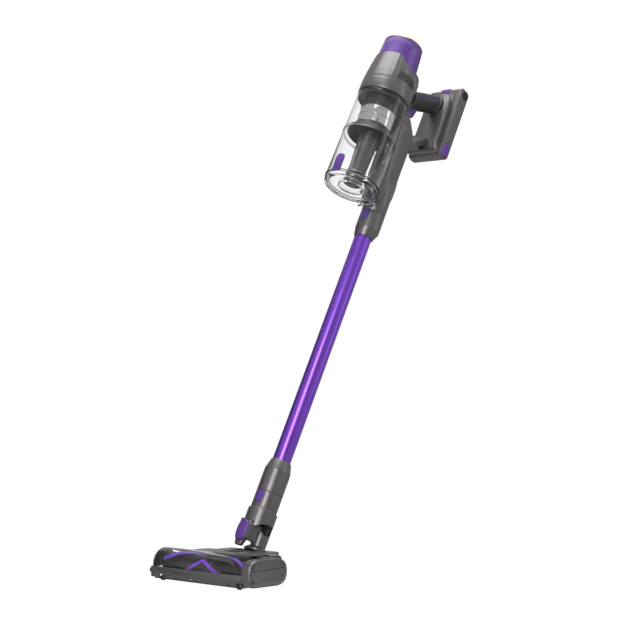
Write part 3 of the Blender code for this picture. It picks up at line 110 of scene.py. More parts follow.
def gridMesh(name, points, wrapColumns=True, wrapRows=False, caps=False):
    # a sheet of rows and columns of points, joined into quads, with a uv of metres run along each way
    rows, columns = points.shape[:2]
    row = np.arange(rows if wrapRows else rows - 1)[:, None]
    column = np.arange(columns if wrapColumns else columns - 1)[None, :]
    nextRow, nextColumn = (row + 1) % rows, (column + 1) % columns
    quads = np.stack([row * columns + column, row * columns + nextColumn,
                      nextRow * columns + nextColumn, nextRow * columns + column], -1).reshape(-1, 4)
    faces = quads.tolist()
    if caps:
        faces += [list(range(columns))[::-1], list(range((rows - 1) * columns, rows * columns))]
    mesh = bpy.data.meshes.new(name)
    mesh.from_pydata(points.reshape(-1, 3).tolist(), [], faces)
    across = np.concatenate([[0.0], np.cumsum(np.linalg.norm(np.diff(points.mean(0), axis=0), axis=1))])
    along = np.concatenate([[0.0], np.cumsum(np.linalg.norm(np.diff(points.mean(1), axis=0), axis=1))])
    spread = np.stack(np.broadcast_arrays(across[None, :], along[:, None]), -1).reshape(-1, 2)
    loops = np.empty(len(mesh.loops), np.int32)
    mesh.loops.foreach_get("vertex_index", loops)
    layer = mesh.uv_layers.new(name="run")
    layer.data.foreach_set("uv", spread[loops].ravel())
    return bpy.data.objects.new(name, mesh)


def inPlace(points, basis):
    return basis[0] + np.asarray(points, float) @ basis[1]


def finishPiece(piece, look, body, replaced=(), sharp=38, bevel=0.0, merge=1e-6):
    # weld, face outwards, shade smooth with sharp corners, and hand the piece to its body
    bpy.context.scene.collection.objects.link(piece)
    work = bmesh.new()
    work.from_mesh(piece.data)
    bmesh.ops.remove_doubles(work, verts=work.verts, dist=merge)
    bmesh.ops.dissolve_degenerate(work, dist=1e-7, edges=work.edges)
    bmesh.ops.recalc_face_normals(work, faces=work.faces)
    work.to_mesh(piece.data)
    work.free()
    piece.data.materials.append(looks[look])
    piece.data.shade_smooth()
    piece.data.set_sharp_from_angle(angle=math.radians(sharp))
    if bevel:
        edge = piece.modifiers.new("edge", "BEVEL")
        edge.width, edge.segments, edge.limit_method = bevel, 2, "ANGLE"
        edge.angle_limit, edge.harden_normals = math.radians(sharp), True
    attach(piece, body)
    if replaced:
        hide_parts(*replaced)
    return piece


def lathePoints(profile, axisBack=0.0, columns=96, start=0.0, stop=2 * math.pi, shape=None):
    # angle 0 faces the front; shape may scale or move (radius, height) by angle
    full = abs(stop - start - 2 * math.pi) < 1e-6
    turn = np.linspace(start, stop, columns, endpoint=not full)[None, :]
    profile = np.asarray(profile, float)
    radius, height = np.broadcast_arrays(profile[:, :1], turn)[0], np.broadcast_arrays(profile[:, 1:],
                                                                                       turn)[0]
    if shape:
        radius, height = shape(radius, height, turn)
    return np.stack([radius * np.sin(turn), axisBack - radius * np.cos(turn), height], -1)


def lathe(name, profile, look, body, replaced=(), basis=wandBasis, axisBack=0.0, columns=96, soft=0.0006,
          closed=True, shape=None, sharp=38, steps=4):
    line = roundedLine(profile, soft, steps, closed) if np.max(soft) > 0 else np.asarray(profile, float)
    points = lathePoints(line, axisBack, columns, shape=shape)
    return finishPiece(gridMesh(name, inPlace(points, basis), True, closed), look, body, replaced, sharp)


def pillow(name, outline, rows, mapping, look, body, replaced=(), basis=wandBasis, sharp=38, rings=0):
    # a closed outline repeated inset by inset and height by height, mapped from (u, v, height) to the frame;
    # rings drawn towards the middle let its face follow a curved surface
    outline = np.asarray(outline, float)
    edge = np.roll(outline, -1, 0) - np.roll(outline, 1, 0)
    normal = np.stack([-edge[:, 1], edge[:, 0]], -1)
    normal /= np.maximum(np.linalg.norm(normal, axis=1, keepdims=True), 1e-12)
    x, y = outline[:, 0], outline[:, 1]
    if np.sum(x * np.roll(y, -1) - y * np.roll(x, -1)) < 0:
        normal = -normal
    inset, height = np.asarray(rows, float).T
    flat = outline[None] + normal[None] * inset[:, None, None]
    if rings:
        middle, share = flat[-1].mean(0), np.linspace(1.0, 0.04, rings + 1)[1:, None, None]
        flat = np.concatenate([flat, middle + (flat[-1] - middle) * share])
        height = np.append(height, np.full(rings, height[-1]))
    points = np.concatenate([flat, np.broadcast_to(height[:, None, None], flat.shape[:2] + (1,))], -1)
    return finishPiece(gridMesh(name, inPlace(mapping(points), basis), True, False, True), look, body,
                       replaced, sharp)


def edgeRows(low, high, soft, steps=4, under=True):
    # rows of a slab from low to high with its edges rounded by soft
    turn = np.linspace(0.0, math.pi / 2, steps)
    top = [(soft * (1 - math.cos(t)), high - soft * (1 - math.sin(t))) for t in turn]
    bottom = [(soft * (1 - math.cos(t)), low + soft * (1 - math.sin(t))) for t in turn[::-1]]
    return (bottom if under else [(0.0, low)]) + top


def wrapped(radius, axisBack, middle=0.0):
    # bends a flat drawing round a cylinder, with u along its circumference from the front
    def mapping(p):
        turn, reach = (p[..., 0] + middle) / radius, radius + p[..., 2]
        return np.stack([reach * np.sin(turn), axisBack - reach * np.cos(turn), p[..., 1]], -1)
    return mapping


def facing(direction, depth):
    # lays a drawing on a flat face: u, v and height go to the frame's own axes
    order = {"front": lambda p: np.stack([p[..., 0], depth - p[..., 2], p[..., 1]], -1),
             "rear": lambda p: np.stack([p[..., 0], depth + p[..., 2], p[..., 1]], -1),
             "right": lambda p: np.stack([depth + p[..., 2], p[..., 0], p[..., 1]], -1),
             "left": lambda p: np.stack([-depth - p[..., 2], p[..., 0], p[..., 1]], -1),
             "top": lambda p: np.stack([p[..., 0], p[..., 1], depth + p[..., 2]], -1)}
    return order[direction]


def smoothCopy(node, look, bevel=0.0006, sharp=32):
    # a welded, softly edged copy of a CAD node that stands for it
    piece = bpy.data.objects.new(node + "_skin", frame["nodes"][node].data.copy())
    piece.data.materials.clear()
    return finishPiece(piece, look, nodeBody[node], (node,), sharp, bevel, 1e-5)


# materials
looks = {}


def link(tree, source, output, target, entry):
    tree.links.new(source.outputs[output], target.inputs[entry])


def noise(tree, source, scale, detail, stretch=None):
    made = tree.nodes.new("ShaderNodeTexNoise")
    made.inputs["Scale"].default_value, made.inputs["Detail"].default_value = scale, detail
    if stretch:
        mapping = tree.nodes.new("ShaderNodeMapping")
        mapping.inputs["Scale"].default_value = stretch
        link(tree, source, "Object", mapping, "Vector")
        link(tree, mapping, "Vector", made, "Vector")
    else:
        link(tree, source, "Object", made, "Vector")
    return made


def ranged(tree, source, output, low, high, fromLow=0.3, fromHigh=0.7):
    made = tree.nodes.new("ShaderNodeMapRange")
    for entry, value in (("From Min", fromLow), ("From Max", fromHigh), ("To Min", low), ("To Max", high)):
        made.inputs[entry].default_value = value
    link(tree, source, output, made, "Value")
    return made


def makeLook(name, colour, rough, metallic=0.0, vary=0.08, roughVary=0.05, grain=0.12, grainScale=2600.0,
             stretch=None, wear=0.35, coat=0.0, transmission=0.0, ior=1.46, specular=0.5, pattern=None):
    # base colour drifts softly, edges wear paler, roughness and a fine grain come from noise
    made = bpy.data.materials.new(name)
    made.use_nodes = True
    tree = made.node_tree
    shader = tree.nodes["Principled BSDF"]
    shader.inputs["Metallic"].default_value = metallic
    shader.inputs["Coat Weight"].default_value = coat
    shader.inputs["Transmission Weight"].default_value = transmission
    shader.inputs["IOR"].default_value = ior
    shader.inputs["Specular IOR Level"].default_value = specular
    where = tree.nodes.new("ShaderNodeTexCoord")
    drift = noise(tree, where, 38.0, 3.0)
    fine = noise(tree, where, grainScale, 2.0, stretch)
    tone = tree.nodes.new("ShaderNodeMix")
    tone.data_type = "RGBA"
    colour = np.array(colour, float)
    tone.inputs["A"].default_value = (*np.clip(colour * (1 - vary), 0, 1), 1)
    tone.inputs["B"].default_value = (*np.clip(colour * (1 + vary), 0, 1), 1)
    link(tree, ranged(tree, drift, "Fac", 0.0, 1.0), "Result", tone, "Factor")
    last = tone
    if wear:
        geometry = tree.nodes.new("ShaderNodeNewGeometry")
        worn = tree.nodes.new("ShaderNodeMix")
        worn.data_type = "RGBA"
        worn.inputs["B"].default_value = (*np.clip(colour * 1.5 + 0.02, 0, 1), 1)
        edge = ranged(tree, geometry, "Pointiness", 0.0, wear, 0.52, 0.64)
        link(tree, edge, "Result", worn, "Factor")
        link(tree, tone, "Result", worn, "A")
        last = worn
    if pattern:
        last = pattern(tree, last, colour)
    link(tree, last, "Result", shader, "Base Color")
    rougher = ranged(tree, drift, "Fac", max(rough - roughVary, 0.02), rough + roughVary)
    link(tree, rougher, "Result", shader, "Roughness")
    if grain:
        bump = tree.nodes.new("ShaderNodeBump")
        bump.inputs["Strength"].default_value = grain
        bump.inputs["Distance"].default_value = 0.0001
        link(tree, fine, "Fac", bump, "Height")
        link(tree, bump, "Normal", shader, "Normal")
    looks[name] = made
    return made


def dotted(pitch, size, dark):
    # round dark holes in rows, from the piece's own run coordinates
    def pattern(tree, before, colour):
        run = tree.nodes.new("ShaderNodeUVMap")
        run.uv_map = "run"
        split = tree.nodes.new("ShaderNodeSeparateXYZ")
        link(tree, run, "UV", split, "Vector")
        waves = []
        for output in ("X", "Y"):
            turn = tree.nodes.new("ShaderNodeMath")
            turn.operation = "MULTIPLY"
            turn.inputs[1].default_value = 2 * math.pi / pitch
            link(tree, split, output, turn, 0)
            wave = tree.nodes.new("ShaderNodeMath")
            wave.operation = "COSINE"
            tree.links.new(turn.outputs[0], wave.inputs[0])
            waves.append(wave)
        both = tree.nodes.new("ShaderNodeMath")
        both.operation = "ADD"
        tree.links.new(waves[0].outputs[0], both.inputs[0])
        tree.links.new(waves[1].outputs[0], both.inputs[1])
        hole = ranged(tree, both, 0, 0.0, 1.0, size, size + 0.35)
        mixed = tree.nodes.new("ShaderNodeMix")
        mixed.data_type = "RGBA"
        mixed.inputs["B"].default_value = (*dark, 1)
        link(tree, hole, "Result", mixed, "Factor")
        link(tree, before, "Result", mixed, "A")
        return mixed
    return pattern


grey = (0.150, 0.143, 0.148)
makeLook("grey_plastic", grey, 0.33, metallic=0.70, grain=0.08, vary=0.03, roughVary=0.03)
makeLook("greyDeep", (0.070, 0.066, 0.069), 0.34, metallic=0.50, grain=0.08, vary=0.03)
makeLook("dark_plastic", (0.032, 0.032, 0.034), 0.36, grain=0.14, specular=0.6)
makeLook("black_gloss", (0.010, 0.010, 0.011), 0.13, grain=0.04, coat=0.6)
makeLook("soft_grip", (0.022, 0.023, 0.023), 0.52, grain=0.30, grainScale=3400.0)
makeLook("purple_plastic", (0.105, 0.040, 0.255), 0.32, metallic=0.15, grain=0.05, coat=0.15, vary=0.03,
         roughVary=0.03)
makeLook("purple_anodised", (0.230, 0.085, 0.620), 0.28, metallic=0.85, grain=0.04, vary=0.02, roughVary=0.02)
makeLook("clear_plastic", (0.970, 0.975, 0.975), 0.03, roughVary=0.01, vary=0.008, wear=0.0, grain=0.02,
         transmission=1.0, ior=1.36)
makeLook("smokedClear", (0.720, 0.720, 0.725), 0.03, roughVary=0.01, vary=0.01, wear=0.0, grain=0.02,
         transmission=1.0, ior=1.36)
makeLook("chrome_mesh", (0.800, 0.800, 0.810), 0.16, metallic=1.0, grain=0.05,
         pattern=dotted(0.0011, 0.9, (0.10, 0.10, 0.10)))
makeLook("gold_ring", (0.860, 0.600, 0.180), 0.17, metallic=1.0, grain=0.05)
makeLook("rubber", (0.018, 0.018, 0.018), 0.70, grain=0.40, grainScale=1800.0)
makeLook("steel", (0.560, 0.560, 0.570), 0.28, metallic=1.0, grain=0.12)
makeLook("filter_paper", (0.780, 0.780, 0.750), 0.90, grain=0.40, grainScale=1500.0)
makeLook("purple_bristle", (0.240, 0.075, 0.700), 0.60, grain=0.60, grainScale=900.0, vary=0.22)
makeLook("tintedClear", (0.150, 0.150, 0.155), 0.12, grain=0.03, wear=0.0, vary=0.02, transmission=0.30,
         ior=1.40)
makeLook("ventDark", (0.110, 0.105, 0.108), 0.40, metallic=0.5,
         pattern=dotted(0.0024, 0.7, (0.012, 0.012, 0.012)))
# black for real gaps and joints, and also for painted shade lines under the cup ring and along the clear
# lid's lower edge and creases
makeLook("gapAndShadeBlack", (0.006, 0.006, 0.007), 0.60, grain=0.05, wear=0.0)
makeLook("grille", (0.050, 0.050, 0.052), 0.35, pattern=dotted(0.0040, 0.4, (0.004, 0.004, 0.004)))
print("materials", len(looks))

# wand: tube and its two collars, with their D-shaped buttons
tube = {"radius": 0.0169, "wall": 0.0012, "low": 0.1500, "top": 0.6760}
lathe("tube_skin", [(tube["radius"], tube["top"]), (tube["radius"], tube["low"]),
                    (tube["radius"] - tube["wall"], tube["low"]),
                    (tube["radius"] - tube["wall"], tube["top"])],
      "purple_anodised", "wand", ("wand_tube",), columns=112, soft=0.0003)

lower = {"low": 0.1177, "shoulder": 0.1600, "top": 0.1794, "radius": 0.0242, "topRadius": 0.0189,
         "bore": 0.0171}
lathe("lower_collar_skin",
      [(lower["topRadius"], lower["top"]), (lower["radius"] - 0.0004, lower["shoulder"] + 0.0014),
       (lower["radius"], lower["shoulder"] - 0.0010), (lower["radius"], lower["low"] + 0.0003),
       (lower["radius"] - 0.0005, lower["low"]), (lower["bore"], lower["low"]),
       (lower["bore"], lower["top"])],
      "grey_plastic", "wand", ("wand_lower_collar",), soft=0.0009)
lathe("lower_seam", [(lower["radius"] - 0.0008, lower["low"] + 0.0001), (lower["radius"] - 0.0008, 0.1165),
                     (lower["bore"] + 0.0004, 0.1165), (lower["bore"] + 0.0004, lower["low"] + 0.0001)],
      "gapAndShadeBlack", "neck", soft=0.0)

upper = {"low": 0.6445, "shoulder": 0.6615, "top": 0.6992, "radius": 0.0240, "back": 0.0030, "bore": 0.0171}


def toTube(radius, height, turn):
    # the cone's lower lip draws in to the tube, whose axis is a little further forward
    share = np.clip((height - upper["low"]) / (upper["shoulder"] - upper["low"]), 0.0, 1.0)
    lip = upper["back"] * (1 - share) * np.cos(turn)
    return np.where(radius > upper["bore"] + 0.0006, radius + lip,
                    radius + upper["back"] * np.cos(turn)), height


lathe("upper_collar_skin",
      [(upper["radius"], upper["top"]), (upper["radius"], upper["shoulder"] + 0.0010),
       (upper["radius"] - 0.0006, upper["shoulder"] - 0.0010), (0.0184, upper["low"]),
       (upper["bore"], upper["low"]),
       (upper["bore"], upper["top"])],
      "grey_plastic", "wand", ("wand_upper_collar",), axisBack=upper["back"], soft=0.0009, shape=toTube)


def buttonLine(half, top, height, spacing=0.0012):
    line = np.concatenate([roundedLine([(half, top - height + half), (half, top), (-half, top),
                                        (-half, top - height + half)], 0.0014, 5, False),
                           arcLine(0.0, top - height + half, half, 180, 360, 20)[1:-1]])
    return resample(line, spacing)


def dButton(name, node, body, carrier, radius, axisBack, top, middle, half=0.0092, height=0.0216):
    # a purple button standing a little proud of its collar, in a thin dark gap with a raised lip
    line = buttonLine(half, top, height)
    around = wrapped(radius, axisBack, middle)
    pillow(name + "_gap", buttonLine(half + 0.0006, top + 0.0003, height + 0.0010),
           edgeRows(-0.0004, 0.00018, 0.0001),
           around, "gapAndShadeBlack", carrier)
    pillow(name + "_skin", line, edgeRows(-0.0010, 0.0009, 0.0007, 5), around, "purple_plastic", body,
           (node,),
           rings=4)


dButton("neck_button", "neck_button", "neck_button", "neck", 0.0242, 0.0, 0.1160, 0.0016)
dButton("wand_button", "wand_button", "wand_button", "wand", 0.0240, upper["back"], 0.6988, 0.0016,
        height=0.0212)

# neck: socket with an arched lower edge, duct, hose and front arm
socket = {"radius": 0.0270, "collar": 0.0242, "step": 0.0845, "top": 0.1165, "seam": 0.0880, "bore": 0.0150}
archAngle = np.radians([0, 28, 48, 62, 85, 110, 150, 180])
archHeight = [0.0505, 0.0510, 0.0545, 0.0590, 0.0614, 0.0612, 0.0600, 0.0595]


def archEdge(turn):
    # lower edge: deep in front, arched up over the duct on each side
    away = np.abs((turn + math.pi) % (2 * math.pi) - math.pi)
    return np.interp(away, archAngle, archHeight)


def archLow(radius, height, turn):
    share = np.clip((socket["step"] - 0.004 - height) / (socket["step"] - 0.004 - 0.055), 0.0, 1.0)
    return radius, np.where(height < socket["step"] - 0.004,
                            (socket["step"] - 0.004) + (archEdge(turn) - socket["step"] + 0.004) * share,
                            height)


wall = 0.0022
lathe("socket_skin",
      [(0.0168, 0.1455), (0.0168, socket["top"] + 0.0006), (socket["collar"] - 0.0004,
                                                            socket["top"] + 0.0006),
       (socket["collar"], socket["top"]), (socket["collar"], socket["seam"] + 0.0006),
       (socket["collar"] - 0.0006, socket["seam"]), (socket["collar"], socket["seam"] - 0.0006),
       (socket["collar"], socket["step"] + 0.0006), (socket["radius"] - 0.0006, socket["step"]),
       (socket["radius"], socket["step"] - 0.0016), (socket["radius"], 0.070), (socket["radius"], 0.060),
       (socket["radius"], 0.055), (socket["radius"] - wall, 0.055), (socket["radius"] - wall, 0.066),
       (socket["bore"], 0.078), (socket["bore"], 0.1455)],
      "grey_plastic", "neck", ("neck_socket",), columns=144, soft=0.0005, shape=archLow)

duct = {"radius": 0.0143, "wall": 0.0016, "back": neckBack, "low": 0.0155, "top": 0.0610}


def ductTop(turn):
    # top edge: up to the socket, but scooped down in a half ellipse on each side
    across = (duct["back"] - duct["radius"] * np.cos(turn) - 0.0145) / 0.0120
    return 0.0608 - 0.0160 * np.sqrt(np.clip(1 - across ** 2, 0, 1))


def ductShape(radius, height, turn):
    share = np.clip((height - 0.030) / (duct["top"] - 0.030), 0.0, 1.0)
    return radius, np.where(height > 0.030, 0.030 + (ductTop(turn) - 0.030) * share, height)


ductInner = duct["radius"] - duct["wall"]
lathe("duct_skin", [(duct["radius"], duct["top"]), (duct["radius"], 0.050), (duct["radius"], 0.040),
                    (duct["radius"], 0.030), (duct["radius"], duct["low"]), (ductInner, duct["low"]),
                    (ductInner, 0.030), (ductInner, duct["top"])],
      "grey_plastic", "neck", ("neck_tube",), axisBack=duct["back"], soft=0.0004, shape=ductShape)
for side, name in ((1, "right"), (-1, "left")):
    earLine = roundedLine([(0.0085, -0.0085), (0.0255, -0.0085), (0.0255, 0.0080), (0.0300, 0.0170),
                           (0.0300, 0.0200),
                           (0.0040, 0.0200), (0.0040, 0.0170), (0.0085, 0.0080)], 0.0050, 6)
    pillow(f"neck_ear_{name}", earLine, edgeRows(0.0156, 0.0203, 0.0012), facing(name, 0.0), "grey_plastic",
           "neck")
lathe("duct_foot", [(0.0140, 0.0240), (0.0205, 0.0195), (0.0205, 0.0150), (0.0120, 0.0150), (0.0120, 0.0240)],
      "grey_plastic", "neck", axisBack=duct["back"], soft=0.0016)


pillow("neck_web", roundedLine(box2d(-0.0255, 0.0060, 0.0270, 0.0590), 0.0030),
       edgeRows(-0.0060, 0.0060, 0.0010),
       facing("right", 0.0), "grey_plastic", "neck")
rings = np.linspace(0.0, 1.0, 73)
hoseRun = np.stack([0.0121 + 0.0006 * np.cos(rings * 2 * math.pi * 9), 0.0660 - 0.0330 * rings], -1)
hoseIn = np.stack([0.0105 + 0 * rings, 0.0330 + 0.0330 * rings], -1)
lathe("hose_skin", np.concatenate([hoseRun, hoseIn]), "black_gloss", "neck", ("elbow_hose",), axisBack=0.0165,
      columns=72, soft=0.0)
lathe("hose_funnel", [(0.0247, 0.0700), (0.0190, 0.0655), (0.0132, 0.0640), (0.0132, 0.0652),
                      (0.0190, 0.0670),
                      (0.0247, 0.0720)], "black_gloss", "neck", axisBack=0.0010, columns=72, soft=0.0012)

arm = {"half": 0.0132, "front": -0.0330, "low": 0.0118, "top": 0.0600}
armLine = resample(roundedLine([(-0.0072, arm["low"]), (0.0072, arm["low"]), (0.0086, 0.0195),
                                (arm["half"], 0.0265),
                                (arm["half"], arm["top"]), (-arm["half"], arm["top"]), (-arm["half"], 0.0265),
                                (-0.0086, 0.0195)], [0.002, 0.002, 0.004, 0.005, 0.001, 0.001, 0.005,
                                                     0.004]), 0.0015)


def armMap(p):
    # the face leans out a little towards its foot, and its edges roll back
    out = 0.0012 * np.clip((0.0240 - p[..., 1]) / 0.0140, 0.0, 1.0)
    return np.stack([p[..., 0], arm["front"] + 0.0006 - out - p[..., 2], p[..., 1]], -1)


pillow("arm_skin", armLine, edgeRows(-0.0094, 0.0, 0.0022, 5), armMap, "grey_plastic", "neck", ("front_arm",))
ovalTurn = np.radians(np.arange(0, 360, 5))
oval = {"z": 0.0385, "halfW": 0.0124, "halfH": 0.0187, "middle": 0.0008}


def ovalLine(grow):
    # a capsule-like oval: a superellipse a little fuller than an ellipse
    c, s = np.cos(ovalTurn), np.sin(ovalTurn)
    power = 2 / 2.5
    return np.stack([oval["middle"] + (oval["halfW"] + grow) * np.sign(c) * np.abs(c) ** power,
                     oval["z"] + (oval["halfH"] + grow) * np.sign(s) * np.abs(s) ** power], -1)


pillow("oval_gap", ovalLine(0.0007), edgeRows(-0.0010, 0.0002, 0.0002),
       facing("front", arm["front"] - 0.0004),
       "gapAndShadeBlack", "neck")
pillow("oval_rim", ovalLine(0.0016), edgeRows(-0.0010, 0.0000, 0.0005),
       facing("front", arm["front"] - 0.0004),
       "grey_plastic", "neck")
pillow("oval_skin", ovalLine(0.0), [(0.0, -0.001), (0.0, 0.0006), (0.0003, 0.0014), (0.0012, 0.0021),
                                     (0.0030, 0.0027), (0.0060, 0.0031), (0.0095, 0.0032)],
       facing("front", arm["front"] - 0.0004), "purple_plastic", "head_release_button",
       ("head_release_button",))
smoothCopy("neck_yoke", "dark_plastic", 0.0005)
print("wand and neck")

# cup, cyclone and motor housing share one axis in front of the wand's
cupBack = -0.0762
cup = {"lowZ": 0.7195, "topZ": 0.9085, "lowR": 0.0543, "topR": 0.0512, "wall": 0.0020}


def cupRadius(z):
    return cup["lowR"] + (cup["topR"] - cup["lowR"]) * (z - cup["lowZ"]) / (cup["topZ"] - cup["lowZ"])


def cupShell(name, pieces, look, body, replaced=(), **options):
    return lathe(name, pieces, look, body, replaced, axisBack=cupBack, **options)


ringZ, ringHalf = 0.8225, 0.0026
w = cup["wall"]
cupShell("cup_skin",
         [(cup["topR"], cup["topZ"]), (cupRadius(0.9020), 0.9020), (cupRadius(ringZ), ringZ),
          (cup["lowR"], cup["lowZ"] + 0.0040), (cup["lowR"] + 0.0008, cup["lowZ"] + 0.0024),
          (cup["lowR"] + 0.0008, cup["lowZ"]), (cup["lowR"] - w, cup["lowZ"]), (cupRadius(ringZ) - w, ringZ),
          (cup["topR"] - w, cup["topZ"])],
         "clear_plastic", "dust_cup", ("dust_cup",), columns=128, soft=0.0006)
ringGap = 0.42
ringTurn = (ringGap - math.pi, math.pi - ringGap)
ringLine = roundedLine([(cupRadius(ringZ) + 0.0016, ringZ + ringHalf),
                        (cupRadius(ringZ) + 0.0016, ringZ - ringHalf),
                        (cupRadius(ringZ) + 0.0001, ringZ - ringHalf),
                        (cupRadius(ringZ) + 0.0001, ringZ + ringHalf)],
                       0.0006)
ring = gridMesh("ring_skin", inPlace(lathePoints(ringLine, cupBack, 140, *ringTurn), wandBasis), False, True)
finishPiece(ring, "smokedClear", "dust_cup", ("cup_ring",))
# a painted shade line inside the clear wall just under the ring
cupShell("cup_shade_line", [(cupRadius(0.8192) - 0.0002, 0.8196), (cupRadius(0.8185) - 0.0002, 0.8184),
                      (cupRadius(0.8185) - 0.0012, 0.8184), (cupRadius(0.8192) - 0.0012, 0.8196)],
         "gapAndShadeBlack", "dust_cup", columns=128, soft=0.0001)
cupShell("cup_top_line", [(cup["topR"] - 0.0002, 0.9085), (cup["topR"] - 0.0002, 0.9068),
                          (cup["topR"] - 0.0018, 0.9068), (cup["topR"] - 0.0018, 0.9085)],
         "gapAndShadeBlack", "main_body", columns=128, soft=0.0002)

lidTop, lidLow, lidR = 0.7190, 0.7090, 0.0535
cupShell("lid_skin",
         [(0.0, lidLow + 0.0030), (0.0235, lidLow + 0.0030), (0.0238, lidTop + 0.0030),
          (0.0250, lidTop + 0.0030),
          (0.0253, lidLow + 0.0032), (0.0440, lidLow + 0.0036), (0.0462, lidTop + 0.0004),
          (0.0474, lidTop + 0.0004),
          (0.0478, lidTop - 0.0022), (lidR, lidTop - 0.0022), (lidR, lidLow + 0.0030),
          (lidR - 0.0022, lidLow + 0.0006),
          (0.0480, lidLow), (0.0, lidLow)],
         "clear_plastic", "cup_lid", ("cup_lid",), columns=128, soft=0.0007, closed=False)
cupShell("seal_skin", [(0.0501, lidTop + 0.0006), (0.0501, lidTop - 0.0016), (0.0478, lidTop - 0.0016),
                       (0.0478, lidTop + 0.0006)], "rubber", "cup_lid", ("lid_seal",), columns=112,
         soft=0.0005)
# dark rings on the lid: the top one is the joint where the lid meets the cup; the low, inner and hub ones are
# painted shade along the lid's lower edge and in the creases at the foot of its rim and hub
for name, radius, z in (("lid_line_top", lidR + 0.0002, lidTop - 0.0018),
                        ("lid_line_low", lidR - 0.0012, lidLow + 0.0010),
                        ("lid_line_in", 0.0468, lidLow + 0.0042), ("lid_line_hub", 0.0243, lidLow + 0.0036)):
    cupShell(name, [(radius, z + 0.0003), (radius, z - 0.0003), (radius - 0.0004, z - 0.0003),
                    (radius - 0.0004, z + 0.0003)],
             "gapAndShadeBlack", "cup_lid", columns=128, soft=0.0001)
for x in (-0.0080, 0.0080):
    pillow("lid_knuckle_" + ("left" if x < 0 else "right"),
           roundedLine(box2d(x - 0.0040, x + 0.0040, 0.7030, 0.7085), 0.0012),
           edgeRows(-0.0020, 0.0018, 0.0010), facing("front", -0.0254), "clear_plastic", "cup_lid")
for x in (-0.0158, 0.0158):
    pillow("cup_lug_" + ("left" if x < 0 else "right"),
           roundedLine(box2d(x - 0.0030, x + 0.0030, 0.7030, 0.7200), 0.0012),
           edgeRows(-0.0020, 0.0018, 0.0010), facing("front", -0.0254), "clear_plastic", "dust_cup")

latch = {"half": 0.0088, "top": 0.7520, "low": 0.7147, "middle": 0.0038, "radius": 0.0546}
latchLine = resample(np.concatenate([arcLine(0.0, latch["top"] - latch["half"], latch["half"], 0, 180, 20),
                                     roundedLine([(-latch["half"], latch["top"] - latch["half"] - 0.001),
                                                  (-latch["half"], latch["low"]),
                                                  (latch["half"], latch["low"]),
                                                  (latch["half"], latch["top"] - latch["half"] - 0.001)],
                                                 0.0015, 5, False)]), 0.0014)
onCup = wrapped(latch["radius"], cupBack, latch["middle"])
pillow("latch_rim", latchLine * [1.10, 1.0] + [0.0, 0.0010], edgeRows(0.0002, 0.0012, 0.0004), onCup,
       "purple_plastic",
       "cup_latch")
pillow("latch_skin", latchLine, edgeRows(0.0002, 0.0034, 0.0013, 5), onCup, "purple_plastic", "cup_latch",
       ("cup_latch",))
pillow("latch_pad", roundedLine(box2d(-0.0048, 0.0048, 0.7230, 0.7420), 0.0045, 8),
       edgeRows(0.0030, 0.0038, 0.0004),
       onCup, "purple_plastic", "cup_latch")

funnelTop = 0.9076
cupShell("funnel_skin",
         [(0.0484, funnelTop), (0.0487, 0.9062), (0.0440, 0.9036), (0.0386, 0.9024), (0.0372, 0.9012),
          (0.0290, 0.9012),
          (0.0290, funnelTop)],
         "dark_plastic", "main_body", ("pre_filter",), columns=112, soft=0.0012)
cupShell("band_skin",
         [(0.0362, 0.9010), (0.0364, 0.8992), (0.0358, 0.8984), (0.0358, 0.8816), (0.0364, 0.8808),
          (0.0362, 0.8793),
          (0.0338, 0.8793), (0.0338, 0.9010)],
         "greyDeep", "main_body", ("shroud_band",), columns=112, soft=0.0006)
cupShell("screen_skin", [(0.0350, 0.8790), (0.0350, 0.8440), (0.0342, 0.8440), (0.0342, 0.8790)],
         "chrome_mesh",
         "main_body", ("mesh_screen",), columns=112, soft=0.0002)
for k, z in enumerate((0.8786, 0.8615, 0.8446)):
    cupShell(f"screen_band_{k + 1}", [(0.0355, z + 0.0007), (0.0355, z - 0.0007), (0.0344, z - 0.0007),
                                      (0.0344, z + 0.0007)], "steel", "main_body", columns=112, soft=0.0002)
cupShell("skirt_skin",
         [(0.0356, 0.8452), (0.0372, 0.8420), (0.0415, 0.8360), (0.0448, 0.8290), (0.0460, 0.8258),
          (0.0460, 0.8250),
          (0.0446, 0.8250), (0.0400, 0.8340), (0.0340, 0.8415), (0.0215, 0.8432), (0.0215, 0.8456)],
         "dark_plastic", "main_body", ("cyclone_skirt",), columns=112, soft=0.0014)


def ribs(radius, height, turn):
    # fine upright ribs on the cone between its lip and its lower band
    inCone = (height < 0.8130) & (height > 0.7440) & (radius > 0.0160)
    return radius - np.where(inCone, 0.00042 * np.clip(np.cos(turn * 22) * 3, 0, 1), 0.0), height


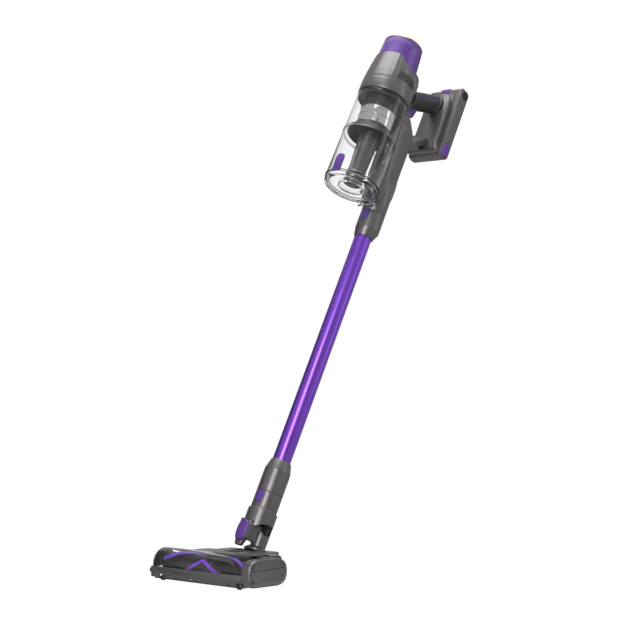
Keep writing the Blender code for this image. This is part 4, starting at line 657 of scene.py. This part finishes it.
coneRun = np.linspace(0.0, 1.0, 14)
coneSide = np.stack([0.0200 - 0.0028 * coneRun, 0.8128 - 0.0705 * coneRun], -1)
cupShell("cone_skin",
         np.concatenate([[(0.0212, 0.8690), (0.0212, 0.8262), (0.0208, 0.8252), (0.0206, 0.8146),
                          (0.0200, 0.8138)],
                         coneSide, [(0.0184, 0.7415), (0.0187, 0.7405), (0.0187, 0.7232), (0.0180, 0.7224),
                                    (0.0160, 0.7224), (0.0160, 0.7400), (0.0178, 0.8130), (0.0190, 0.8690)]]),
         "grey_plastic", "main_body", ("cyclone_cone",), columns=352, soft=0.0003, shape=ribs, steps=3)
cupShell("outlet_disc", [(0.0, 0.7262), (0.0164, 0.7262), (0.0164, 0.7250), (0.0120, 0.7244), (0.0, 0.7244)],
         "dark_plastic", "main_body", columns=64, closed=False)
for k in range(8):
    turn = 2 * math.pi * k / 8
    spoke = roundedLine(box2d(0.0030, 0.0162, -0.0007, 0.0007), 0.0003)

    def outward(p, turn=turn):
        return np.stack([p[..., 0] * math.cos(turn) - p[..., 1] * math.sin(turn),
                         cupBack + p[..., 0] * math.sin(turn) + p[..., 1] * math.cos(turn),
                         0.7226 + p[..., 2]], -1)

    pillow(f"outlet_spoke_{k + 1}", spoke, edgeRows(0.0, 0.0020, 0.0003), outward, "greyDeep", "main_body")
cupShell("foam_grille", [(0.0476, 0.9052), (0.0480, 0.8995), (0.0472, 0.8995), (0.0468, 0.9052)], "grille",
         "main_body",
         columns=112, soft=0.0002)

# clear vane that turns the incoming air, at the right rear of the cup
vaneTurn = np.radians(np.linspace(95, 150, 30))
vaneLine = roundedLine([(0.0500, 0.8130), (0.0500, 0.7700), (0.0486, 0.7700), (0.0486, 0.8130)], 0.0004)
vane = gridMesh("inlet_vane", inPlace(lathePoints(vaneLine, cupBack, 30, vaneTurn[0], vaneTurn[-1],
                                                  lambda radius, height, turn: (radius,
                                                                                height - 0.030 * (turn
                                                                                                  - 1.6))),
                                      wandBasis), False, True)
finishPiece(vane, "smokedClear", "dust_cup")
print("cup and cyclone")

# motor housing: a tapered shell whose front rises into a tongue under the cap
housingHeights = [0.9100, 0.9112, 0.9200, 0.9350, 0.9550, 0.9770, 0.9970]
housingRadii = [0.0512, 0.0522, 0.0529, 0.0527, 0.0508, 0.0480, 0.0452]
topAngles = np.radians([0, 40, 49, 57, 73, 89, 110, 140, 180])
topHeights = [0.9970, 0.9970, 0.9890, 0.9826, 0.9780, 0.9740, 0.9706, 0.9700, 0.9700]


def housingTop(turn):
    away = np.abs((turn - 0.20 + math.pi) % (2 * math.pi) - math.pi)
    return np.interp(away, topAngles, topHeights)


def housingShape(radius, height, turn):
    # height holds the share of the way up and radius the depth below the surface
    top = housingTop(turn)
    z = housingHeights[0] + (top - housingHeights[0]) * height
    ridge = 0.0007 * np.exp(-((np.abs(turn) - 0.80) / 0.05) ** 2) * np.clip((z - 0.930) / 0.02, 0, 1)
    crease = 0.0005 * np.exp(-((z - 0.9350) / 0.0020) ** 2)
    surface = np.interp(z, housingHeights, housingRadii) + ridge - crease
    return surface - radius, z


share = np.concatenate([[0.0, 0.006], np.linspace(0.02, 0.98, 40), [0.992, 1.0]])
outerRows = np.stack([np.where((share < 0.003) | (share > 0.997), 0.0004, 0.0), share], -1)
innerRows = np.stack([0.0018 + 0 * share[::4], share[::-4]], -1)
turnHousing = lathePoints(np.concatenate([outerRows, innerRows]), cupBack, 200, -math.pi, math.pi,
                          housingShape)
housing = gridMesh("housing_skin", inPlace(turnHousing, wandBasis), True, True)
finishPiece(housing, "grey_plastic", "main_body", ("motor_housing",), sharp=50)
cupShell("housing_line", [(0.0514, 0.9101), (0.0514, 0.9088), (0.0496, 0.9088), (0.0496, 0.9101)], "gapAndShadeBlack",
         "main_body", columns=128, soft=0.0002)

ventR = 0.0518
ventLine = resample(roundedLine([(ventR * math.radians(57), 0.9415), (ventR * math.radians(111), 0.9415),
                                 (ventR * math.radians(113), 0.9600), (ventR * math.radians(59), 0.9600)],
                                0.0030, 7),
                    0.0016)


def ventMap(p):
    turn = p[..., 0] / ventR
    reach = np.interp(p[..., 1], housingHeights, housingRadii) + p[..., 2]
    return np.stack([reach * np.sin(turn), cupBack - reach * np.cos(turn), p[..., 1]], -1)


pillow("vent_frame", ventLine, edgeRows(-0.0004, 0.0004, 0.0003), ventMap, "greyDeep", "main_body",
       ("vent_panel",))
ventU, ventV = np.meshgrid(np.linspace(math.radians(60), math.radians(109), 60) * ventR,
                           np.linspace(0.9435, 0.9580, 20))
ventSheet = gridMesh("vent_mesh", inPlace(ventMap(np.stack([ventU, ventV, 0 * ventU + 0.00055], -1)),
                                          wandBasis), False)
finishPiece(ventSheet, "ventDark", "main_body")
for row in range(5):
    for column in range(16):
        middle = ventR * math.radians(62 + 45 * (column + 0.5 * (row % 2)) / 15.5)
        z = 0.9450 + row * 0.0030
        slotLine = roundedLine(box2d(middle - 0.0009, middle + 0.0009, z - 0.0009, z + 0.0009), 0.0007, 4)
        pillow(f"vent_hole_{row + 1}_{column + 1}", slotLine, [(0.0, 0.0004), (0.0, 0.0007)], ventMap,
               "gapAndShadeBlack",
               "main_body")
print("housing")

# filter cap with fine grip ridges and its gold ring
cap = {"low": 0.9620, "top": 1.0396, "lowR": 0.0447, "topR": 0.0394}


def ridged(radius, height, turn):
    onSide = (radius > 0.0385) & (height < 1.0375)
    return radius - np.where(onSide, 0.00035 * np.clip(1.5 * np.cos(turn * 110), -1, 1), 0.0), height


capRun = np.linspace(0.0, 1.0, 8)
capEdge = cap["top"] - 0.0016
capSide = np.stack([cap["topR"] + (cap["lowR"] - cap["topR"]) * capRun,
                    capEdge - (capEdge - cap["low"]) * capRun], -1)
cupShell("cap_skin",
         np.concatenate([[(0.0, 1.0372), (0.0330, 1.0372), (0.0344, 1.0376), (0.0350, cap["top"]),
                          (cap["topR"] - 0.0004, cap["top"])], capSide,
                         [(cap["lowR"] - 0.0020, cap["low"]), (0.0370, 1.0340), (0.0, 1.0340)]]),
         "purple_plastic", "filter_unit", ("filter_cap",), columns=660, soft=0.0003, closed=False,
         shape=ridged, steps=3)
cupShell("gold_skin",
         [(cap["topR"] - 0.0052, 1.0396), (cap["topR"] - 0.0052, 1.0412), (cap["topR"] - 0.0040, 1.0424),
          (cap["topR"] - 0.0012, 1.0424), (cap["topR"] + 0.0004, 1.0412), (cap["topR"] + 0.0004, 1.0396)],
         "gold_ring", "filter_unit", ("cap_ring",), columns=128, soft=0.0007)
cupShell("cap_crown", [(0.0, 1.0392), (0.0270, 1.0392), (0.0290, 1.0384), (0.0330, 1.0382), (0.0342, 1.0374),
                       (0.0, 1.0374)], "dark_plastic", "filter_unit", columns=96, soft=0.0006, closed=False)
pleats = 54
cupShell("filter_skin", [(0.0330, 1.0330), (0.0330, 0.9650), (0.0240, 0.9650), (0.0240, 1.0330)],
         "filter_paper",
         "filter_unit", ("hepa_filter",), columns=pleats * 6, soft=0.0002,
         shape=lambda radius, height, turn: (radius + 0.0014 * np.cos(turn * pleats), height))
print("cap")

# grip, trigger, dock, strut and battery
slope = math.radians(28.5)
grip = {"z": 0.9586, "start": -0.0135, "stop": 0.0657, "halfH": 0.0190, "halfW": 0.0165}
gripTurn = np.radians(np.arange(0, 360, 3))


def gripRow(b, grow, flat=0.0):
    # an upright oval section across the slope, slid along b
    middle = grip["z"] + (b - grip["start"]) * math.tan(slope)
    tall = (grip["halfH"] + grow) / math.cos(slope)
    return np.stack([(grip["halfW"] + grow) * np.cos(gripTurn), b + 0 * gripTurn,
                     middle + tall * np.sin(gripTurn)], -1)


gripShares = np.linspace(0.0, 1.0, 40)
gripBulge = 0.0008 * np.sin(math.pi * gripShares) - 0.0004
gripRows = [gripRow(grip["start"] + 0.0003, -0.0030)]
gripRows += [gripRow(grip["start"] + 0.0003 + (grip["stop"] - grip["start"] - 0.0006) * k, g)
             for k, g in zip(gripShares, gripBulge)]
gripRows.append(gripRow(grip["stop"] - 0.0003, -0.0030))
finishPiece(gridMesh("grip_skin", inPlace(np.array(gripRows), wandBasis), True, False, True), "soft_grip",
            "main_body",
            ("grip",), sharp=50)

stripeShare = np.linspace(0.06, 0.97, 30)[:, None]
stripeTurn = np.radians(np.linspace(10, 16, 5))[None, :]
for side, name in ((1, "right"), (-1, "left")):
    b = grip["start"] + (grip["stop"] - grip["start"]) * stripeShare
    middle = grip["z"] + (b - grip["start"]) * math.tan(slope)
    grow = 0.0008 * np.sin(math.pi * stripeShare) - 0.0004 + 0.0003
    stripe = np.stack(np.broadcast_arrays(side * (grip["halfW"] + grow) * np.cos(stripeTurn), b,
                                          middle + (grip["halfH"]
                                                    + grow) / math.cos(slope) * np.sin(stripeTurn)), -1)
    finishPiece(gridMesh(f"grip_stripe_{name}", inPlace(stripe, wandBasis), False), "purple_plastic",
                "main_body")
for k, b in enumerate((grip["start"] + 0.0035, grip["stop"] - 0.0040)):
    collar = np.array([gripRow(b - 0.0030, 0.0), gripRow(b - 0.0024, 0.0012), gripRow(b + 0.0024, 0.0012),
                       gripRow(b + 0.0030, 0.0)])
    finishPiece(gridMesh(f"grip_collar_{k + 1}", inPlace(collar, wandBasis), True),
                "greyDeep" if k else "dark_plastic",
                "main_body")
smoothCopy("trigger", "purple_plastic", 0.0004)
smoothCopy("lower_strut", "grey_plastic", 0.0005)
smoothCopy("spine", "grey_plastic", 0.0005, 40)

dock = {"front": 0.0660, "back": 0.0793}
dockTop, dockHalf = 1.0315, 0.0302
dockRight = [(0.0400, 0.8890), (0.0345, 0.8990), (dockHalf, 0.9130), (dockHalf, 0.9600), (dockHalf, 1.0060),
             (0.0240, 1.0240), (0.0090, dockTop)]
dockLine = resample(roundedLine(dockRight + [(-x, z) for x, z in reversed(dockRight)], 0.0110, 6), 0.0018)
pillow("dock_skin", dockLine, edgeRows(0.0, dock["back"] - dock["front"], 0.0028, 5),
       facing("front", dock["back"]), "grey_plastic", "main_body", ("dock_bar",))

battery = {"front": 0.0796, "back": 0.1070, "low": 0.8865, "top": 1.0510, "half": 0.0410}
packLine = resample(roundedLine([(battery["front"], battery["low"] + 0.0030),
                                 (battery["front"] + 0.0060, battery["low"]),
                                 (battery["back"], battery["low"]),
                                 (battery["back"], battery["top"] - 0.0200),
                                 (battery["back"], battery["top"]),
                                 (battery["front"] + 0.0040, battery["top"]),
                                 (battery["front"], battery["top"] - 0.0040)],
                                [0.004, 0.005, 0.0125, 0.0060, 0.0125, 0.004, 0.003], 8), 0.0025)


def packMap(p):
    return np.stack([p[..., 2], p[..., 0], p[..., 1]], -1)


half = battery["half"]
packRows = edgeRows(-half, half, 0.0018, 5)
seamX = (-0.0285, 0.0285)
middleRows = [row for x in seamX for row in ((0.0, x - 0.0005), (0.0005, x), (0.0, x + 0.0005))]
packRows = packRows[:5] + middleRows + packRows[5:]
pillow("pack_skin", packLine, packRows, packMap, "grey_plastic", "battery", ("battery_pack",), sharp=30)
panel = resample(roundedLine(box2d(-0.0240, 0.0240, 0.8940, 1.0380), 0.0060, 7), 0.003)
pillow("pack_panel", panel, edgeRows(-0.0002, 0.00025, 0.0002), facing("front", battery["front"]),
       "grey_plastic",
       "battery")
topButton = resample(roundedLine(box2d(-0.0130, 0.0130, 0.0, 0.0128), 0.0030, 6), 0.002)


def topMap(p):
    return np.stack([p[..., 0] - 0.0010, battery["front"] - 0.0004 + p[..., 1], 1.0390 + p[..., 2]], -1)


pillow("pack_button_skin", topButton, edgeRows(0.0, 0.0128, 0.0024, 6), topMap, "purple_plastic",
       "battery_button",
       ("battery_button",))
for side, name in ((1, "right"), (-1, "left")):
    turn = np.radians(np.arange(0, 360, 6))
    clip = np.stack([0.0933 + 0.0112 * np.cos(turn), 0.9030 + 0.0150 * np.sin(turn)], -1)
    disc = np.stack([0.0950 + 0.0086 * np.cos(turn), 1.0388 + 0.0092 * np.sin(turn)], -1)
    face = facing(name, half)
    pillow(f"clip_gap_{name}", clip + (clip - [0.0933, 0.9030]) * 0.09, edgeRows(-0.0002, 0.0002, 0.0001),
           face,
           "gapAndShadeBlack", "battery")
    pillow(f"clip_{name}_skin", clip, [(0.0, -0.0006), (0.0, 0.0008), (0.0004, 0.0014), (0.0018, 0.0018),
                                       (0.0050, 0.0020)], face, "purple_plastic", f"battery_clip_{name}",
           (f"battery_clip_{name}",))
    pillow(f"disc_{name}", disc, edgeRows(-0.0002, 0.0006, 0.0003), face, "gapAndShadeBlack", "battery")
print("handle")

# floor head
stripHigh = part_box("front_strip")[1]
capLow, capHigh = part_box("end_cap_right")
windowR, windowZ = 0.0265, 0.0245
brush = alongX(brushCentre[1], brushCentre[2])
shell = alongX(brushCentre[1], windowZ)


def windowSheet(name, x0, x1, radius, thick, start, stop, look, columns=60, replaced=()):
    # part of a tube about the brush: angle 0 is the head's front, 90 its top
    turn = np.radians(np.linspace(start, stop, columns))[None, :]
    line = roundedLine([(radius, x1), (radius, x0), (radius - thick, x0), (radius - thick, x1)], 0.0004)
    r, x = line[:, :1], line[:, 1:]
    points = np.stack([x + 0 * turn, brushCentre[1] - r * np.cos(turn), windowZ + r * np.sin(turn)], -1)
    return finishPiece(gridMesh(name, points, False, True), look, "head", replaced)


capInner = capLow[0]
windowSheet("window_skin", -0.1215, capInner - 0.0003, windowR, 0.0018, -8, 133, "clear_plastic", 72,
            ("brush_window",))
for k, x in enumerate((-0.1190, -0.1146, -0.1102, -0.1058)):
    windowSheet(f"window_rib_{k + 1}", x - 0.0010, x + 0.0010, windowR + 0.0001 - 0.0018, 0.0014, -6, 131,
                "greyDeep", 48)
windowSheet("window_back_edge", -0.1215, capInner - 0.0003, windowR + 0.0008, 0.0030, 118, 135, "greyDeep",
            12)

endRings = [(0.0, 0.0036), (0.0060, 0.0036), (0.0064, 0.0026), (0.0108, 0.0026), (0.0112, 0.0034),
            (0.0130, 0.0034),
            (0.0134, 0.0022), (0.0180, 0.0022), (0.0184, 0.0032), (0.0202, 0.0032), (0.0206, 0.0018),
            (0.0236, 0.0018),
            (0.0240, 0.0030), (0.0264, 0.0026), (0.0266, 0.0), (0.0, 0.0)]


def cutBelow(points, floor):
    # the end disc stops flat behind the front strip
    points[..., 2] = np.maximum(points[..., 2], floor)
    return points


endLine = roundedLine([(r, -0.1212 - h) for r, h in endRings], 0.0004, 4, False)
endPoints = inPlace(lathePoints(endLine, 0.0, 96), shell)
finishPiece(gridMesh("left_end_skin", cutBelow(endPoints, stripHigh[2] - 0.0015), True), "tintedClear",
            "head",
            ("end_cap_left",), merge=2e-5)

arch = 0.0083
stripLine = [(-0.1250, stripHigh[2]), (-0.1250, 0.0044), (-0.1230, 0.0024)]
for x, wide, top in ((-0.0975, 0.0052, arch), (-0.0600, 0.0040, 0.0042), (-0.0190, 0.0060, 0.0046),
                     (0.0740, 0.0045, 0.0042),
                     (0.0975, 0.0052, arch)):
    stripLine += [(x - wide - 0.0004, 0.0024), (x - wide + 0.0012, top), (x + wide - 0.0012, top),
                  (x + wide + 0.0004, 0.0024)]
stripLine += [(capInner - 0.0003, 0.0024), (capInner - 0.0003, stripHigh[2])]
pillow("strip_skin", roundedLine(stripLine, 0.0012, 4), edgeRows(0.0, 0.0026, 0.0006),
       facing("front", stripHigh[1]),
       "grey_plastic", "head", ("front_strip",), headBasis)
pillow("strip_panel", roundedLine(box2d(-0.0700, 0.0700, 0.0088, 0.0190), 0.0016),
       edgeRows(0.0022, 0.0031, 0.0004),
       facing("front", stripHigh[1]), "grey_plastic", "head", (), headBasis)
for k in range(7):
    x = -0.0480 + k * 0.0120
    pillow(f"strip_bar_{k + 1}",
           roundedLine([(x, 0.0106), (x + 0.0060, 0.0106), (x + 0.0060, 0.0124), (x + 0.0022, 0.0124),
                                             (x + 0.0022, 0.0172), (x, 0.0172)], 0.0005, 3),
           edgeRows(0.0028, 0.0036, 0.0002), facing("front", stripHigh[1]), "grey_plastic", "head", (),
           headBasis)
pillow("strip_nub", roundedLine(box2d(0.0105, 0.0175, -0.0735, -0.0700), 0.001),
       edgeRows(0.1248, 0.1272, 0.0006),
       lambda p: np.stack([-p[..., 2], p[..., 1], p[..., 0]], -1), "greyDeep", "head", (), headBasis)

capFront, capBackY, capTopZ, capLowZ = capLow[1], capHigh[1], capHigh[2], capLow[2]
endOutline = resample(roundedLine([(capFront, capLowZ), (capBackY, capLowZ), (capBackY + 0.0002, capTopZ),
                                   (capFront, capTopZ)], [0.0150, 0.0260, 0.0300, 0.0260], 14), 0.0022)
endX = capHigh[0]
endRows = [(0.0022, capLow[0]), (0.0008, capLow[0] + 0.0002), (0.0, capLow[0] + 0.0012),
           (0.0, capLow[0] + 0.0056),
           (0.0005, capLow[0] + 0.0060), (0.0005, capLow[0] + 0.0066), (0.0, capLow[0] + 0.0070),
           (0.0, endX - 0.0030),
           (0.0005, endX - 0.0016), (0.0014, endX - 0.0006), (0.0024, endX - 0.0003), (0.0031, endX - 0.0005),
           (0.0035, endX - 0.0012), (0.0040, endX - 0.0014), (0.0090, endX - 0.0014)]
pillow("end_cap_skin", endOutline, endRows, lambda p: np.stack([p[..., 2], p[..., 0], p[..., 1]], -1),
       "grey_plastic",
       "head", ("end_cap_right",), headBasis, 30)

smoothCopy("bridge_cover", "grey_plastic", 0.0007, 30)
smoothCopy("rear_shroud_left", "black_gloss", 0.0006, 30)
smoothCopy("rear_shroud_right", "black_gloss", 0.0006, 30)
smoothCopy("head_chassis", "dark_plastic", 0.0004, 35)
smoothCopy("sole_plate", "grey_plastic", 0.0003, 35)
print("head shells")

# brush roller: V-grooved barrel and three strips of bristle tufts
barrel = {"radius": 0.0200, "left": -0.1020, "right": 0.0995, "tip": 0.0240, "base": 0.0203}
strips, apexAngle, twist, reachX = 3, math.radians(39), math.radians(127), 0.0985


def sweep(x):
    # how far the V has turned from its apex at a place along the barrel
    return twist * np.abs(x) / reachX


def barrelShape(radius, height, turn):
    # grooves run beside each strip, following the same V; lathe angle 0 points down and 90 to the back
    lead = (turn + math.pi / 2 + apexAngle - sweep(height)) * strips
    groove = np.clip(np.cos(lead + math.pi * 0.35) * 4 - 3.0, 0,
                     1) + np.clip(np.cos(lead - math.pi * 0.35) * 4 - 3.0, 0, 1)
    on = radius > barrel["radius"] - 0.0006
    return radius - np.where(on, 0.0012 * np.clip(groove, 0, 1), 0.0), height


barrelRun = np.linspace(barrel["right"], barrel["left"], 120)
barrelLine = np.concatenate([[(0.0, 0.1170), (0.0030, 0.1170), (0.0030, barrel["right"])],
                             np.stack([barrel["radius"] + 0 * barrelRun, barrelRun], -1),
                             [(0.0030, barrel["left"]), (0.0030, -0.1200), (0.0, -0.1200)]])
finishPiece(gridMesh("roller_skin", inPlace(lathePoints(barrelLine, 0.0, 150, shape=barrelShape), brush),
                     True), "greyDeep",
            "brush", ("brush_roller",), sharp=50)
for side, x in (("left", barrel["left"] - 0.0006), ("right", barrel["right"] + 0.0006)):
    lathe(f"roller_hub_{side}", [(0.0205, x + 0.0010), (0.0205, x - 0.0010), (0.0032, x - 0.0010),
                                 (0.0032, x + 0.0010)],
          "dark_plastic", "brush", basis=brush, columns=64, soft=0.0005)

tufts = 220
for index in range(strips):
    x = np.linspace(-reachX, reachX, tufts)
    middle = apexAngle + 2 * math.pi * index / strips - sweep(x)
    ragged = 0.00035 * np.sin(np.arange(tufts) * 2.4) + 0.00025 * np.sin(np.arange(tufts) * 0.9 + index)
    radii = np.stack([barrel["base"] + 0 * x, barrel["tip"] - 0.0006 + ragged,
                      barrel["tip"] - 0.0002 + ragged,
                      barrel["tip"] - 0.0006 + ragged, barrel["base"] + 0 * x])
    across = np.array([-0.0030, -0.0028, 0.0, 0.0028, 0.0030])[:, None] / radii
    turn = middle[None] + across
    points = np.stack([np.broadcast_to(x, turn.shape), brushCentre[1] - radii * np.cos(turn),
                       brushCentre[2] + radii * np.sin(turn)], -1)
    finishPiece(gridMesh(f"bristles_{index + 1}", points.transpose(1, 0, 2), True, False, True),
                "purple_bristle", "brush",
                (f"bristle_strip_{index + 1}",), sharp=60)
    for edge, side in ((-1, "lead"), (1, "trail")):
        rail = middle[None] + edge * np.array([0.0032, 0.0046, 0.0046, 0.0032])[:, None] / barrel["radius"]
        railR = np.array([0.0199, 0.0199, 0.0208, 0.0210])[:, None]
        line = np.stack([np.broadcast_to(x, rail.shape), brushCentre[1] - railR * np.cos(rail),
                         brushCentre[2] + railR * np.sin(rail)], -1)
        finishPiece(gridMesh(f"rail_{side}_{index + 1}", line.transpose(1, 0, 2), True, False, True),
                    "greyDeep", "brush")

# wheels with pale hubs
for side, name in ((-1, "left"), (1, "right")):
    spin = np.array(joints[f"front_wheel_{name}_spin"]["pos_m"], float)
    axle = alongX(spin[1], spin[2])
    lathe(f"front_tyre_{name}", [(0.0047, spin[0] + 0.0034), (0.0047, spin[0] - 0.0034),
                                 (0.0024, spin[0] - 0.0034),
                                 (0.0024, spin[0] + 0.0034)], "rubber", f"front_wheel_{name}",
          (f"front_wheel_{name}",),
          axle, columns=48, soft=0.0010)
    lathe(f"front_hub_{name}", [(0.0, spin[0] + 0.0062), (0.0011, spin[0] + 0.0062),
                                (0.0011, spin[0] + 0.0032),
                                (0.0024, spin[0] + 0.0032), (0.0024, spin[0] - 0.0032),
                                (0.0011, spin[0] - 0.0032),
                                (0.0011, spin[0] - 0.0062), (0.0, spin[0] - 0.0062)], "steel",
          f"front_wheel_{name}", (),
          axle, columns=32, soft=0.0002, closed=False)
    spin = np.array(joints[f"rear_wheel_{name}_spin"]["pos_m"], float)
    axle = alongX(spin[1], spin[2])
    lathe(f"rear_tyre_{name}", [(0.0090, spin[0] + 0.0045), (0.0090, spin[0] - 0.0045),
                                (0.0060, spin[0] - 0.0045),
                                (0.0060, spin[0] + 0.0045)], "rubber", f"rear_wheel_{name}",
          (f"rear_wheel_{name}",),
          axle, columns=56, soft=0.0014)
    lathe(f"rear_hub_{name}", [(0.0, spin[0] + side * 0.0036), (0.0030, spin[0] + side * 0.0040),
                               (0.0060, spin[0] + side * 0.0030), (0.0060, spin[0] - side * 0.0040),
                               (0.0018, spin[0] - side * 0.0040), (0.0018, spin[0] - side * 0.0100),
                               (0.0, spin[0] - side * 0.0100)], "greyDeep", f"rear_wheel_{name}", (),
          axle, columns=40, soft=0.0004, closed=False)

# CAD nodes that keep their own shape
carried = {"brush_motor": "steel", "motor_pulley": "steel", "brush_pulley": "dark_plastic",
           "drive_belt": "rubber",
           "pitch_pin": "steel", "fan_motor": "dark_plastic", "impeller": "steel", "lid_pin": "steel"}
for node, look in carried.items():
    mesh = frame["nodes"][node].data
    mesh.materials.clear()
    mesh.materials.append(looks[look])
print("brush, wheels and carried nodes")

# lights and camera, before plain white
def plainLook(name, colour, glow):
    made = bpy.data.materials.new(name)
    made.use_nodes = True
    shader = made.node_tree.nodes["Principled BSDF"]
    shader.inputs["Base Color"].default_value = (*colour, 1)
    shader.inputs["Roughness"].default_value = 0.9
    shader.inputs["Emission Color"].default_value = (1, 1, 1, 1)
    shader.inputs["Emission Strength"].default_value = glow
    return made


def stagePlane(name, corners, look):
    mesh = bpy.data.meshes.new(name)
    mesh.from_pydata(corners, [], [(0, 1, 2, 3)])
    plane = bpy.data.objects.new(name, mesh)
    bpy.context.scene.collection.objects.link(plane)
    mesh.materials.append(look)
    return plane


scene = bpy.context.scene
world = bpy.data.worlds.new("studio")
world.use_nodes = True
scene.world = world
tree = world.node_tree
background = tree.nodes["Background"]
rayKind = tree.nodes.new("ShaderNodeLightPath")
strength = tree.nodes.new("ShaderNodeMapRange")
strength.inputs["To Min"].default_value, strength.inputs["To Max"].default_value = 0.50, 1.05


def worldMath(operation, first, second):
    made = tree.nodes.new("ShaderNodeMath")
    made.operation = operation
    for entry, value in enumerate((first, second)):
        if isinstance(value, float):
            made.inputs[entry].default_value = value
        else:
            tree.links.new(value, made.inputs[entry])
    return made.outputs[0]


# white behind the object and straight through its clear parts, calmer in reflections
bounced = worldMath("ADD", rayKind.outputs["Diffuse Depth"], rayKind.outputs["Glossy Depth"])
straight = worldMath("MULTIPLY", rayKind.outputs["Is Transmission Ray"], worldMath("LESS_THAN", bounced, 0.5))
tree.links.new(worldMath("MAXIMUM", rayKind.outputs["Is Camera Ray"], straight), strength.inputs["Value"])
tree.links.new(strength.outputs["Result"], background.inputs["Strength"])
background.inputs["Color"].default_value = (1, 1, 1, 1)


def softBox(name, place, target, width, height, power):
    light = bpy.data.lights.new(name, "AREA")
    light.shape, light.size, light.size_y, light.energy = "RECTANGLE", width, height, power
    lamp = bpy.data.objects.new(name, light)
    lamp.location = place
    lamp.rotation_euler = (Vector(target) - Vector(place)).to_track_quat("-Z", "Y").to_euler()
    scene.collection.objects.link(lamp)
    lamp.visible_camera = False


middleOfBody = (0.05, 0.25, 0.55)
softBox("keyBox", (1.35, -2.15, 1.2), middleOfBody, 1.0, 2.6, 50)
softBox("rightBox", (2.2, 1.6, 1.3), middleOfBody, 0.5, 2.4, 5)
softBox("topBox", (0.2, 0.2, 3.0), middleOfBody, 2.0, 2.0, 55)


def darkFlag(name, middle, across, halfWide, halfHigh):
    # a black card that only reflections see, for the dark bands beside each highlight
    middle, across = np.array(middle, float), np.array(across, float)
    rise = np.array([0.0, 0.0, 1.0])
    corners = [tuple(middle + across * halfWide * i + rise * halfHigh * j) for i,
               j in ((-1, -1), (1, -1), (1, 1), (-1, 1))]
    flag = stagePlane(name, corners, plainLook(name + "Black", (0.0, 0.0, 0.0), 0.0))
    flag.visible_camera = flag.visible_diffuse = flag.visible_shadow = False


darkFlag("flagFar", (-2.2, -0.6, 0.8), (0.26, -0.97, 0.0), 0.9, 1.6)
darkFlag("flagRight", (2.5, -0.9, 0.8), (0.2, 0.98, 0.0), 0.35, 1.6)

camera = bpy.data.cameras.new("view")
camera.lens, camera.sensor_width, camera.clip_end = 66.77, 36.0, 60.0
eye = bpy.data.objects.new("view", camera)
eye.location = (1.5397, -1.4018, 0.2451)
eye.rotation_euler = (math.radians(95.618), 0.0, math.radians(43.406))
scene.collection.objects.link(eye)
scene.camera = eye
scene.view_settings.view_transform = "Standard"
